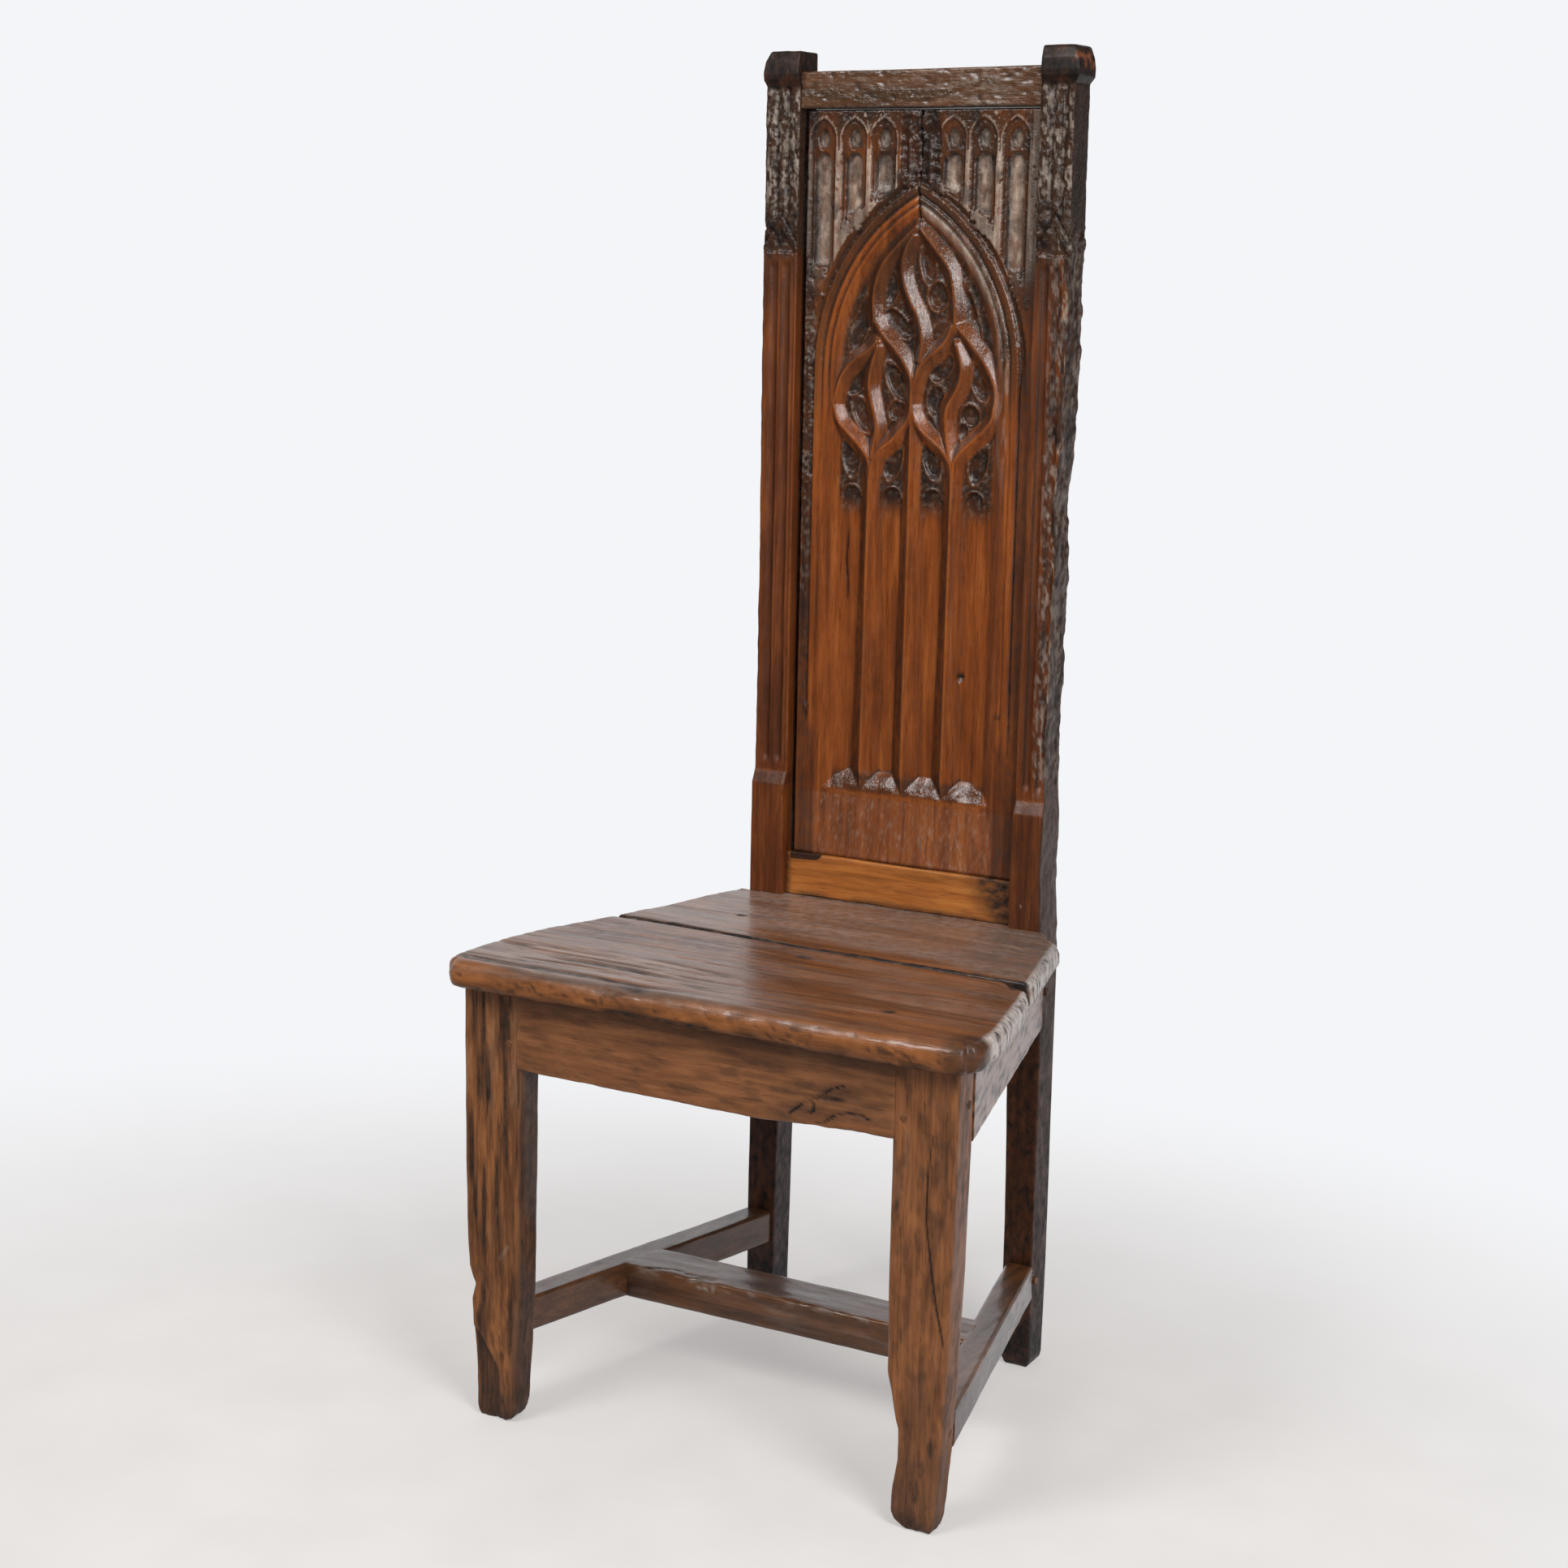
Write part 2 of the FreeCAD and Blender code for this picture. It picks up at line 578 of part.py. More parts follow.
def cross_bar(label, half_length, y, foot, thickness, height, tenon):
    """A straight member between two legs or posts, with a tenon at each end."""
    body = new_body(label)
    corner, length = across(half_length)
    block(body, "Additive", f"{label}_stock", (corner, y, foot), (length, thickness, height))
    (shoulder, tenon_y, tenon_foot), (reach, tenon_thickness, tenon_height) = tenon
    corner, length = across(f"{shoulder} + {reach}")
    block(body, "Additive", f"{label}_tenons", (corner, tenon_y, tenon_foot),
          (length, tenon_thickness, tenon_height))
    return body


def front_apron():
    """The rail under the front of the seat, flush with the fronts of the legs."""
    body = cross_bar("front_apron", LEG_INNER_X, FRONT_Y, APRON_FOOT, "Sizes.apron_thickness",
                     "Sizes.apron_height", FRONT_APRON_TENON)
    drill(body, "peg_hole", FRONT_APRON_PEG, sides=(1, -1))
    drill_dowels(body, FRONT_DOWELS, sides=(1, -1))
    return body


def rear_apron():
    """The rail between the rear legs, under the back of the seat."""
    body = cross_bar("rear_apron", POST_INNER_X, RAIL_Y, APRON_FOOT, "Sizes.apron_thickness",
                     "Sizes.apron_height", REAR_APRON_TENON)
    drill(body, "peg_hole", REAR_APRON_PEG, sides=(1, -1))
    drill_dowels(body, REAR_DOWELS, sides=(1, -1))
    return body


def splayed_bar(label, width, foot, height, tenons):
    """A right-hand member along the splayed side, with shoulders square to the leg and the post."""
    body = new_body(label)
    plan = outline(body, f"{label}_plan", "XY_Plane", foot, [[
        (side_line(width, LEG_BACK_Y), LEG_BACK_Y),
        (side_line("0", LEG_BACK_Y), LEG_BACK_Y),
        (side_line("0", SHAFT_Y), SHAFT_Y),
        (side_line(width, SHAFT_Y), SHAFT_Y),
    ]])
    pad(body, f"{label}_stock", plan, height)
    for end, (corner, lengths) in zip(("front", "rear"), tenons):
        block(body, "Additive", f"{label}_{end}_tenon", corner, lengths)
    return body


def side_apron():
    """The right-hand rail under the side of the seat."""
    body = splayed_bar("side_apron_right", "Sizes.apron_thickness", APRON_FOOT, "Sizes.apron_height",
                       APRON_TENONS)
    drill(body, "front_peg_hole", APRON_LEG_PEG)
    drill(body, "rear_peg_hole", APRON_POST_PEG)
    drill_dowels(body, SIDE_FRONT_DOWELS + SIDE_REAR_DOWELS)
    return body


def side_stretcher():
    """The right-hand stretcher low on the legs, with a mortise for the cross stretcher."""
    body = splayed_bar("side_stretcher_right", "Sizes.stretcher_width", STRETCHER_FOOT,
                       "Sizes.stretcher_height", STRETCHER_TENONS)
    mortise(body, "cross_mortise", *CROSS_TENON, axis=0, way=1)
    drill(body, "front_peg_hole", STRETCHER_LEG_PEG)
    drill(body, "rear_peg_hole", STRETCHER_POST_PEG)
    drill(body, "cross_peg_hole", CROSS_PEG)
    return body


def cross_stretcher():
    """The broad stretcher between the two side stretchers."""
    body = new_body("cross_stretcher")
    front_x = side_line("Sizes.stretcher_width", CROSS_FRONT_Y)
    plan = outline(body, "cross_plan", "XY_Plane", STRETCHER_FOOT, [[
        (f"-{front_x}", CROSS_FRONT_Y),
        (front_x, CROSS_FRONT_Y),
        (CROSS_ROOT_X, CROSS_BACK_Y),
        (f"-{CROSS_ROOT_X}", CROSS_BACK_Y),
    ]])
    pad(body, "cross_stock", plan, "Sizes.stretcher_height")
    (_, tenon_y, tenon_foot), (_, tenon_thickness, tenon_height) = CROSS_TENON
    corner, length = across(CROSS_TENON_END)
    block(body, "Additive", "cross_tenons", (corner, tenon_y, tenon_foot),
          (length, tenon_thickness, tenon_height))
    drill(body, "peg_hole", CROSS_PEG, sides=(1, -1))
    return body


# Dowels between the aprons and the seat boards: a start, an axis and a length each, on the right-hand side
DOWEL_FOOT = "(Sizes.leg_height - Sizes.seat_dowel_drop)"
DOWEL_LENGTH = "(Sizes.seat_dowel_drop + Sizes.seat_dowel_rise)"


def dowel(x, y):
    """One seat dowel's start, axis and length."""
    return (x, y, DOWEL_FOOT), "z", DOWEL_LENGTH


def side_dowel(y):
    """A dowel on the middle line of the side apron."""
    return dowel(side_line("Sizes.apron_thickness / 2", y), y)


SEAT_SIDE = "-Sizes.seat_overhang"
NOSE_Y = f"({FRONT_Y} - Sizes.seat_nose)"
JOINT_Y = f"({FRONT_Y} + Sizes.seat_joint_place)"
JOINT_LEFT_Y = f"({JOINT_Y} + Sizes.seat_joint_skew / 2)"
JOINT_RIGHT_Y = f"({JOINT_Y} - Sizes.seat_joint_skew / 2)"
FRONT_DOWELS = [dowel("Sizes.front_dowel_place", f"({FRONT_Y} + Sizes.apron_thickness / 2)")]
REAR_DOWELS = [dowel("Sizes.rear_dowel_place", REAR_APRON_MIDDLE_Y)]
SIDE_FRONT_DOWELS = [side_dowel(f"({FRONT_Y} + Sizes.seat_joint_place / 2)")]
SIDE_REAR_DOWELS = [side_dowel(f"(({JOINT_Y} + {PLINTH_Y}) / 2)")]


def drill_dowels(body, dowels, sides=(1,)):
    """The holes for seat dowels."""
    for number, each in enumerate(dowels, start=1):
        drill(body, f"dowel_hole_{number}", each, sides, "Sizes.seat_dowel_diameter")


def joint_y(x):
    """The Y of the middle of the seat joint at x, on the line between its two ends."""
    right_x, left_x = side_line(SEAT_SIDE, JOINT_RIGHT_Y), side_line(SEAT_SIDE, JOINT_LEFT_Y)
    return f"({JOINT_RIGHT_Y} + Sizes.seat_joint_skew * ({right_x} - ({x})) / ({right_x} + {left_x}))"


def tongue_plan(body, name, left_x, right_x, clearance):
    """The plan of the loose tongue along the seat joint, at its underside, grown by a clearance."""
    half = f"(Sizes.tongue_width / 2 + {clearance})"
    foot = f"{SEAT_TOP} - Sizes.seat_thickness / 2 - Sizes.tongue_thickness / 2 - {clearance}"
    return outline(body, name, "XY_Plane", foot, [[
        (left_x, f"{joint_y(left_x)} - {half}"),
        (right_x, f"{joint_y(right_x)} - {half}"),
        (right_x, f"{joint_y(right_x)} + {half}"),
        (left_x, f"{joint_y(left_x)} + {half}"),
    ]])


def groove_for_tongue(body):
    """The groove in a seat board's joint face, which runs out at both sides."""
    reach = side_line(SEAT_SIDE, FRONT_Y)
    plan = tongue_plan(body, "groove_plan", f"-{reach}", reach, "Sizes.joint_clearance")
    groove = pocket(body, "tongue_groove", plan, "Sizes.tongue_thickness + 2 * Sizes.joint_clearance")
    groove.Reversed = True


def is_seat_rim(edge):
    """Whether an edge is on the rounded front and sides of the seat, above or below."""
    middle = edge.valueAt((edge.FirstParameter + edge.LastParameter) / 2)
    level = lies_at_height(edge, size("Sizes.leg_height")) or lies_at_height(edge, size(SEAT_TOP))
    outer = abs(middle.x) > size(side_line("-Sizes.seat_overhang + Sizes.seat_edge_radius", str(middle.y)))
    return level and (outer or middle.y < size(f"{FRONT_Y} - Sizes.seat_nose / 2"))


def seat_front_board():
    """The front seat board, with rounded corners and a rounded rim."""
    body = new_body("seat_front_board")
    left_y, right_y = [f"({y} - Sizes.seat_joint_gap / 2)" for y in (JOINT_LEFT_Y, JOINT_RIGHT_Y)]
    plan = outline(body, "front_board_plan", "XY_Plane", "Sizes.leg_height", [[
        (f"-{side_line(SEAT_SIDE, NOSE_Y)}", NOSE_Y),
        (side_line(SEAT_SIDE, NOSE_Y), NOSE_Y),
        (side_line(SEAT_SIDE, right_y), right_y),
        (f"-{side_line(SEAT_SIDE, left_y)}", left_y),
    ]])
    pad(body, "front_board_stock", plan, "Sizes.seat_thickness")
    dress(body, "Fillet", "front_corners", is_seat_corner, "Radius", "Sizes.seat_corner_radius")
    dress(body, "Fillet", "front_board_rim", is_seat_rim, "Radius", "Sizes.seat_edge_radius")
    groove_for_tongue(body)
    drill_dowels(body, FRONT_DOWELS + SIDE_FRONT_DOWELS, sides=(1, -1))
    return body


def seat_rear_board():
    """The rear seat board, cut back round the plinths and running under the lower rail."""
    body = new_body("seat_rear_board")
    left_y, right_y = [f"({y} + Sizes.seat_joint_gap / 2)" for y in (JOINT_LEFT_Y, JOINT_RIGHT_Y)]
    rear_y = f"({PLINTH_Y} - Sizes.joint_clearance)"
    notch_x = f"({POST_INNER_X} - Sizes.joint_clearance)"
    plan = outline(body, "rear_board_plan", "XY_Plane", "Sizes.leg_height", [[
        (f"-{side_line(SEAT_SIDE, left_y)}", left_y),
        (side_line(SEAT_SIDE, right_y), right_y),
        (side_line(SEAT_SIDE, rear_y), rear_y),
        (notch_x, rear_y),
        (notch_x, RAIL_BACK_Y),
        (f"-{notch_x}", RAIL_BACK_Y),
        (f"-{notch_x}", rear_y),
        (f"-{side_line(SEAT_SIDE, rear_y)}", rear_y),
    ]])
    pad(body, "rear_board_stock", plan, "Sizes.seat_thickness")
    dress(body, "Fillet", "rear_board_rim", is_seat_rim, "Radius", "Sizes.seat_edge_radius")
    groove_for_tongue(body)
    drill_dowels(body, REAR_DOWELS + SIDE_REAR_DOWELS, sides=(1, -1))
    return body


def seat_tongue():
    """The loose tongue between the two seat boards."""
    body = new_body("seat_tongue")
    back_y = [f"({y} + Sizes.tongue_width / 2)" for y in (JOINT_LEFT_Y, JOINT_RIGHT_Y)]
    left_x, right_x = [f"({side_line(SEAT_SIDE, y)} - Sizes.tongue_setback)" for y in back_y]
    plan = tongue_plan(body, "tongue_outline", f"-{left_x}", right_x, "0")
    pad(body, "tongue_stock", plan, "Sizes.tongue_thickness")
    return body


def top_rail():
    """The plain rail between the tops of the posts, grooved below for the panel."""
    body = cross_bar("top_rail", POST_INNER_X, RAIL_Y, TOP_RAIL_FOOT, "Sizes.rail_thickness",
                     "Sizes.top_rail_height", TOP_RAIL_TENON)
    groove_rail(body, f"{TOP_RAIL_FOOT} - Sizes.cut_overrun")
    drill(body, "peg_hole", TOP_RAIL_PEG, sides=(1, -1))
    return body


def lower_back_rail():
    """The rail of the back above the seat, grooved for the panel and notched for the repair slip."""
    body = cross_bar("lower_back_rail", POST_INNER_X, RAIL_Y, SEAT_TOP, "Sizes.rail_thickness",
                     "Sizes.lower_rail_height", LOWER_RAIL_TENON)
    groove_rail(body, f"{LOWER_RAIL_TOP} - Sizes.groove_depth")
    (x, y, foot), (length, depth, height) = slip_box()
    block(body, "Subtractive", "slip_notch", (x, f"{y} - Sizes.cut_overrun", foot),
          (length, f"{depth} + Sizes.cut_overrun", f"{height} + Sizes.cut_overrun"))
    drill(body, "peg_hole", LOWER_RAIL_PEG, sides=(1, -1))
    return body


def groove_rail(body, foot):
    """The groove along a rail for the panel's tongue."""
    corner, length = across(POST_INNER_X)
    block(body, "Subtractive", "panel_groove",
          (corner, f"{RAIL_MIDDLE_Y} - Sizes.panel_tongue / 2 - Sizes.joint_clearance", foot),
          (length, "Sizes.panel_tongue + 2 * Sizes.joint_clearance",
           "Sizes.groove_depth + Sizes.cut_overrun"))


def slip_box():
    """The corner and lengths of the repair slip in the top front edge of the lower rail, on the left."""
    return (
        (f"Sizes.slip_start - {POST_INNER_X}", RAIL_Y, f"{LOWER_RAIL_TOP} - Sizes.slip_height"),
        ("Sizes.slip_length", "Sizes.slip_depth", "Sizes.slip_height"),
    )


def rail_repair_slip():
    """The slip of darker wood let into the lower rail."""
    body = new_body("rail_repair_slip")
    block(body, "Additive", "slip_stock", *slip_box())
    return body


ARCH_HALF_WIDTH = f"({POST_INNER_X} - Sizes.arch_margin)"
ARCH_SPRINGING = f"({TOP_RAIL_FOOT} - Sizes.arch_springing_drop)"
ARCH_RADIUS = f"((Sizes.arch_rise^2 + {ARCH_HALF_WIDTH}^2) / (2 * {ARCH_HALF_WIDTH}))"
MOULDINGS_WIDTH = f"({ARCH_MOULDINGS} * Sizes.moulding_width)"
TRACERY_HALF_WIDTH = f"({ARCH_HALF_WIDTH} - {MOULDINGS_WIDTH} - Sizes.tracery_margin)"
SILL_Z = f"({LOWER_RAIL_TOP} + Sizes.sill_rise)"
LANCETS_ACROSS = 2 * LANCETS_EACH_SIDE + 1
LANCET_PITCH = f"(2 * ({POST_INNER_X} - Sizes.lancet_margin) / {LANCETS_ACROSS})"


def arch_loop(inset, foot):
    """A pointed arch on straight jambs, inset all round from the outermost moulding."""
    half = f"({ARCH_HALF_WIDTH} - {inset})"
    radius = f"({ARCH_RADIUS} - {inset})"
    shift = f"({ARCH_RADIUS} - {ARCH_HALF_WIDTH})"
    apex = f"({ARCH_SPRINGING} + sqrt({radius}^2 - {shift}^2))"
    return [
        (f"-{half}", foot),
        (half, foot),
        (half, ARCH_SPRINGING, radius),
        ("0", apex, radius),
        (f"-{half}", ARCH_SPRINGING),
    ]


def lancet_loop(number, way):
    """One blind lancet of the arcade, ending below just above the arch."""
    middle = f"({way * number} * {LANCET_PITCH})"
    half = "(Sizes.lancet_width / 2)"
    apex = f"({TOP_RAIL_FOOT} - Sizes.lancet_top_margin)"
    springing = f"({apex} - Sizes.lancet_head)"
    radius = f"((Sizes.lancet_head^2 + {half}^2) / (2 * {half}))"
    over = f"({number} * {LANCET_PITCH} - {half} + {ARCH_RADIUS} - {ARCH_HALF_WIDTH})"
    foot = f"({ARCH_SPRINGING} + sqrt({ARCH_RADIUS}^2 - {over}^2) + Sizes.lancet_foot_margin)"
    return [
        (f"{middle} - {half}", foot),
        (f"{middle} + {half}", foot),
        (f"{middle} + {half}", springing, radius),
        (middle, apex, radius),
        (f"{middle} - {half}", springing),
    ]


def carved_panel():
    """The carved panel: a board with tongues, a blind arcade, a moulded arch and the tracery inside it."""
    board = new_body("panel_board")
    foot, top = f"({LOWER_RAIL_TOP} + Sizes.panel_gap)", f"({TOP_RAIL_FOOT} - Sizes.panel_gap)"
    corner, length = across(f"{POST_INNER_X} - Sizes.panel_gap")
    block(board, "Additive", "board_stock", (corner, PANEL_Y, foot),
          (length, "Sizes.panel_thickness", f"{top} - {foot}"))
    reach = "(Sizes.groove_depth - Sizes.panel_gap)"
    corner, length = across(f"{POST_INNER_X} + {reach}")
    block(board, "Additive", "board_tongues",
          (corner, f"{RAIL_MIDDLE_Y} - Sizes.panel_tongue / 2", f"{LOWER_RAIL_TOP} - {reach}"),
          (length, "Sizes.panel_tongue", f"{TOP_RAIL_FOOT} - {LOWER_RAIL_TOP} + 2 * {reach}"))
    for step in range(ARCH_MOULDINGS):
        inset = f"({step} * Sizes.moulding_width)"
        face = f"-({PANEL_Y} + {step} * Sizes.moulding_depth)"
        loop = outline(board, f"arch_{step + 1}", "XZ_Plane", face, [arch_loop(inset, SILL_Z)])
        pocket(board, f"arch_moulding_{step + 1}", loop, "Sizes.moulding_depth")
    loops = [lancet_loop(number, way) for number in range(1, LANCETS_EACH_SIDE + 1) for way in (1, -1)]
    lancets = outline(board, "lancets", "XZ_Plane", f"-{PANEL_Y}", loops)
    pocket(board, "arcade", lancets, "Sizes.lancet_depth")
    carve_sill(board)
    openings = doc.addObject("Part::Feature", "tracery_openings")
    openings.Shape = Part.makeCompound(tracery_cutters())
    panel = doc.addObject("Part::Cut", "carved_panel")
    panel.Base = board
    panel.Tool = openings
    panel.Label = "carved_panel"
    return panel


def carve_sill(board):
    """The sloped field below the lights, deep at the sill line and running out at the panel's foot."""
    slope = outline(board, "sill_slope", "YZ_Plane", f"-{TRACERY_HALF_WIDTH}", [[
        (PANEL_Y, f"{LOWER_RAIL_TOP} + Sizes.panel_gap"),
        (f"{PANEL_Y} + Sizes.tracery_depth", SILL_Z),
        (PANEL_Y, SILL_Z),
    ]])
    cut = pocket(board, "sill", slope, f"2 * {TRACERY_HALF_WIDTH}")
    cut.Reversed = True


def tracery_point(shares):
    """A point of the tracery from its shares, on the panel's front."""
    across_share, up_share = shares
    base = size(f"{TOP_RAIL_FOOT} - Sizes.tracery_base_drop")
    height = size("Sizes.tracery_base_drop - Sizes.tracery_apex_drop")
    front = size(f"{PANEL_Y} - Sizes.cut_overrun")
    return FreeCAD.Vector(across_share * size(TRACERY_HALF_WIDTH), front, base + up_share * height)


def curve_through(points):
    """A smooth edge through points."""
    curve = Part.BSplineCurve()
    curve.interpolate(points)
    return curve.toShape()


def sunk(edges):
    """The cutter of one opening, from in front of the panel down to the ground of the tracery."""
    depth = FreeCAD.Vector(0, size("Sizes.tracery_depth + Sizes.cut_overrun"), 0)
    face = Part.Face(Part.Wire(Part.__sortEdges__(edges)))
    return face.extrude(depth)


def tracery_cutters():
    """The cutters of the tracery openings and of the lights under them."""
    cutters = [opening_cutter(shares, 1) for shares in (MIDDLE_LEFT_SHARES, MIDDLE_RIGHT_SHARES)]
    for way in (1, -1):
        for shares in (PEAR_OUTER_SHARES, PEAR_INNER_SHARES, ARCH_SIDE_SHARES):
            cutters.append(opening_cutter(shares, way))
        for shares in LIGHT_HEAD_SHARES:
            cutters.append(light_cutter(shares, way))
    return cutters


def opening_cutter(shares, way):
    """The cutter of one pointed opening, as drawn (1) or turned over to the right-hand side (-1)."""
    lower, left, upper, right = shares
    up = [tracery_point((way * x, z)) for x, z in (lower, *left, upper)]
    down = [tracery_point((way * x, z)) for x, z in (upper, *right, lower)]
    return sunk([curve_through(up), curve_through(down)])


def light_cutter(shares, way):
    """The cutter of one light, from the sill up to its lopsided head."""
    tip, bend, heel = [tracery_point((way * x, z)) for x, z in shares]
    sill = size(SILL_Z)
    tip_foot = FreeCAD.Vector(tip.x, tip.y, sill)
    heel_foot = FreeCAD.Vector(heel.x, heel.y, sill)
    head = curve_through([heel, bend, tip])
    jambs = [Part.makeLine(tip_foot, tip), Part.makeLine(heel, heel_foot)]
    return sunk([head, *jambs, Part.makeLine(heel_foot, tip_foot)])


def build():
    """Every piece of the chair, in the order of assembly."""
    leg, post = front_leg(), back_post()
    apron, stretcher = side_apron(), side_stretcher()
    pieces = [
        leg, mirrored(leg, "front_leg_left"),
        post, mirrored(post, "back_post_left"),
        front_apron(), rear_apron(),
        apron, mirrored(apron, "side_apron_left"),
        stretcher, mirrored(stretcher, "side_stretcher_left"),
        cross_stretcher(),
        seat_front_board(), seat_rear_board(), seat_tongue(),
        top_rail(), lower_back_rail(), rail_repair_slip(), carved_panel(),
    ]
    groups = {
        "front_apron_pegs": [FRONT_APRON_PEG],
        "side_apron_pegs": [APRON_LEG_PEG, APRON_POST_PEG],
        "rear_apron_pegs": [REAR_APRON_PEG],
        "side_stretcher_pegs": [STRETCHER_LEG_PEG, STRETCHER_POST_PEG],
        "cross_stretcher_pegs": [CROSS_PEG],
        "top_rail_pegs": [TOP_RAIL_PEG],
        "lower_rail_pegs": [LOWER_RAIL_PEG],
    }
    pieces += [pegs(label, "Sizes.peg_diameter", places) for label, places in groups.items()]
    dowels = FRONT_DOWELS + REAR_DOWELS + SIDE_FRONT_DOWELS + SIDE_REAR_DOWELS
    pieces.append(pegs("seat_dowels", "Sizes.seat_dowel_diameter", dowels))
    return pieces


def check(pieces):
    """Stop unless every object of the document is sound and every piece is a valid solid."""
    doc.recompute()
    for item in doc.Objects:
        if {"Invalid", "Error"} & set(item.State):
            raise RuntimeError(f"{item.Name} failed: {item.State}")
    for piece in pieces:
        if piece.Shape.isNull() or not piece.Shape.isValid() or not piece.Shape.Solids:
            raise RuntimeError(f"{piece.Label} has no valid solid")


pieces = build()
check(pieces)
os.makedirs("parts", exist_ok=True)
for piece in pieces:
    piece.Shape.exportStep(f"parts/{piece.Label}.step")
    print(piece.Label, len(piece.Shape.Solids), round(piece.Shape.Volume))
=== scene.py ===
"""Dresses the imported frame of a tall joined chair: old waxed oak with a carved Gothic back.

Lengths are in millimetres until a mesh is handed to Blender. X runs to the right of someone
facing the chair, Y runs back from the front edge of the seat, and Z runs up from the floor.
"""

import itertools
import logging
from dataclasses import dataclass, field
from enum import Enum
from functools import partial
from math import cos, radians, sin
from typing import Sequence

import bpy
import numpy as np
from mathutils import Matrix, Vector


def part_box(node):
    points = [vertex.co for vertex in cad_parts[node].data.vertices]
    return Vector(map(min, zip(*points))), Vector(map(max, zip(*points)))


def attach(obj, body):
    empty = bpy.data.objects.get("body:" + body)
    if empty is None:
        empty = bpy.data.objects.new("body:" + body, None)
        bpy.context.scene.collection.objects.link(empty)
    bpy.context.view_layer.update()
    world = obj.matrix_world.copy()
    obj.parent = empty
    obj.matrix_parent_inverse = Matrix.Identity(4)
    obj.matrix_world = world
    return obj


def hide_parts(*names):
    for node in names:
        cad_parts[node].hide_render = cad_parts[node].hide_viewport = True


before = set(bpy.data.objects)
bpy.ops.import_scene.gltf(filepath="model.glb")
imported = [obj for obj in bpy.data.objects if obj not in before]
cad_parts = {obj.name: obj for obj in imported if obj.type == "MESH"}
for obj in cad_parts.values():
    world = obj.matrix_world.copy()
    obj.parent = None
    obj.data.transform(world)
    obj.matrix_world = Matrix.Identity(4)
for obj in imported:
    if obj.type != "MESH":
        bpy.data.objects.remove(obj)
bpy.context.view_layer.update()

Array = np.ndarray
Course = Sequence[Sequence[float]]
LOG = logging.getLogger("chair")
MM = 0.001
MARKS = ("dirt_and_shade", "wear_and_highlight", "grey_and_sheen", "age")

# The frame narrows by SPLAY for each mm from the backs of the front legs to the ends of the side rails.
SPLAY = 0.2604
LEG_OUTER = 264.0
LEG_BACK = -169.5
SIDE_END = 191.0
SIDE_LENGTH = 360.0

# What makes the noise differ from place to place and from seed to seed.
PRIMES = (73856093, 19349663, 83492791, 7919)
MIXER = 1274126177
LARGEST = 0xFFFFFF
SEED_SHIFT = 17.31
GRAIN_SHIFT = (37.0, 91.0, 211.0)


def linear(colour: str) -> tuple[float, float, float, float]:
    """Turns a colour as it is seen into the light that Blender works in.

    Args:
        colour: an sRGB hex value such as "#6A4025".

    Returns:
        Linear red, green and blue, and an alpha of 1.
    """
    parts = [int(colour[i:i + 2], 16) / 255 for i in (1, 3, 5)]
    light = [p / 12.92 if p <= 0.04045 else ((p + 0.055) / 1.055) ** 2.4 for p in parts]
    return light[0], light[1], light[2], 1.0


def ease(value: Array, start: float, end: float) -> Array:
    """Rises smoothly from 0 at start to 1 at end."""
    share = np.clip((np.asarray(value, float) - start) / (end - start), 0, 1)
    return share * share * (3 - 2 * share)


def follow(course: Course, place: Array) -> Array:
    """Reads a course of (place, value) pairs at each place, in straight runs between them."""
    pairs = np.asarray(course, float)
    return np.interp(place, pairs[:, 0], pairs[:, 1])


def noise(points: Array, cell: float | Sequence[float], seed: int) -> Array:
    """Gives smooth chance values that stay the same from run to run.

    Args:
        points: places in mm, one per row.
        cell: size of a lump in mm, one for all directions or one for each.
        seed: which of many patterns to take.

    Returns:
        A value from -1 to 1 for each point.
    """
    place = points / np.asarray(cell, float) + SEED_SHIFT * seed
    base = np.floor(place)
    part = place - base
    part = part * part * part * (part * (part * 6 - 15) + 10)
    base = base.astype(np.int64)
    total = np.zeros(len(points))
    for corner in itertools.product((0, 1), repeat=3):
        i, j, k = (base + corner).T
        mixed = (i * PRIMES[0]) ^ (j * PRIMES[1]) ^ (k * PRIMES[2]) ^ (seed * PRIMES[3])
        mixed = (mixed ^ (mixed >> 13)) * MIXER
        mixed = (mixed ^ (mixed >> 16)) & LARGEST
        share = np.where(corner, part, 1 - part).prod(axis=1)
        total += share * (mixed / (LARGEST // 2) - 1)
    return total


def layered(points: Array, cell: float | Sequence[float], seed: int, layers: int = 3) -> Array:
    """Adds up noise of halving size and strength, from about -1 to 1."""
    sizes = np.asarray(cell, float)
    return sum(noise(points, sizes / 2 ** n, seed + n) / 2 ** n for n in range(layers)) / 1.6


def smooth_line(points: Course, steps: int = 6) -> Array:
    """Draws a fair curve through a few points.

    Args:
        points: places that the curve goes through, each with two or three numbers.
        steps: how many runs there are from one place to the next.

    Returns:
        The curve's points, one per row.
    """
    given = np.asarray(points, float)
    if len(given) < 3:
        return given
    ends = np.vstack([2 * given[0] - given[1], given, 2 * given[-1] - given[-2]])
    share = np.linspace(0, 1, steps, endpoint=False)[:, None]
    runs = []
    for p, q, r, s in zip(ends, ends[1:], ends[2:], ends[3:]):
        runs.append(0.5 * (2 * q + (r - p) * share + (2 * p - 5 * q + 4 * r - s) * share ** 2
                           + (3 * q - p - 3 * r + s) * share ** 3))
    return np.vstack([*runs, given[-1:]])


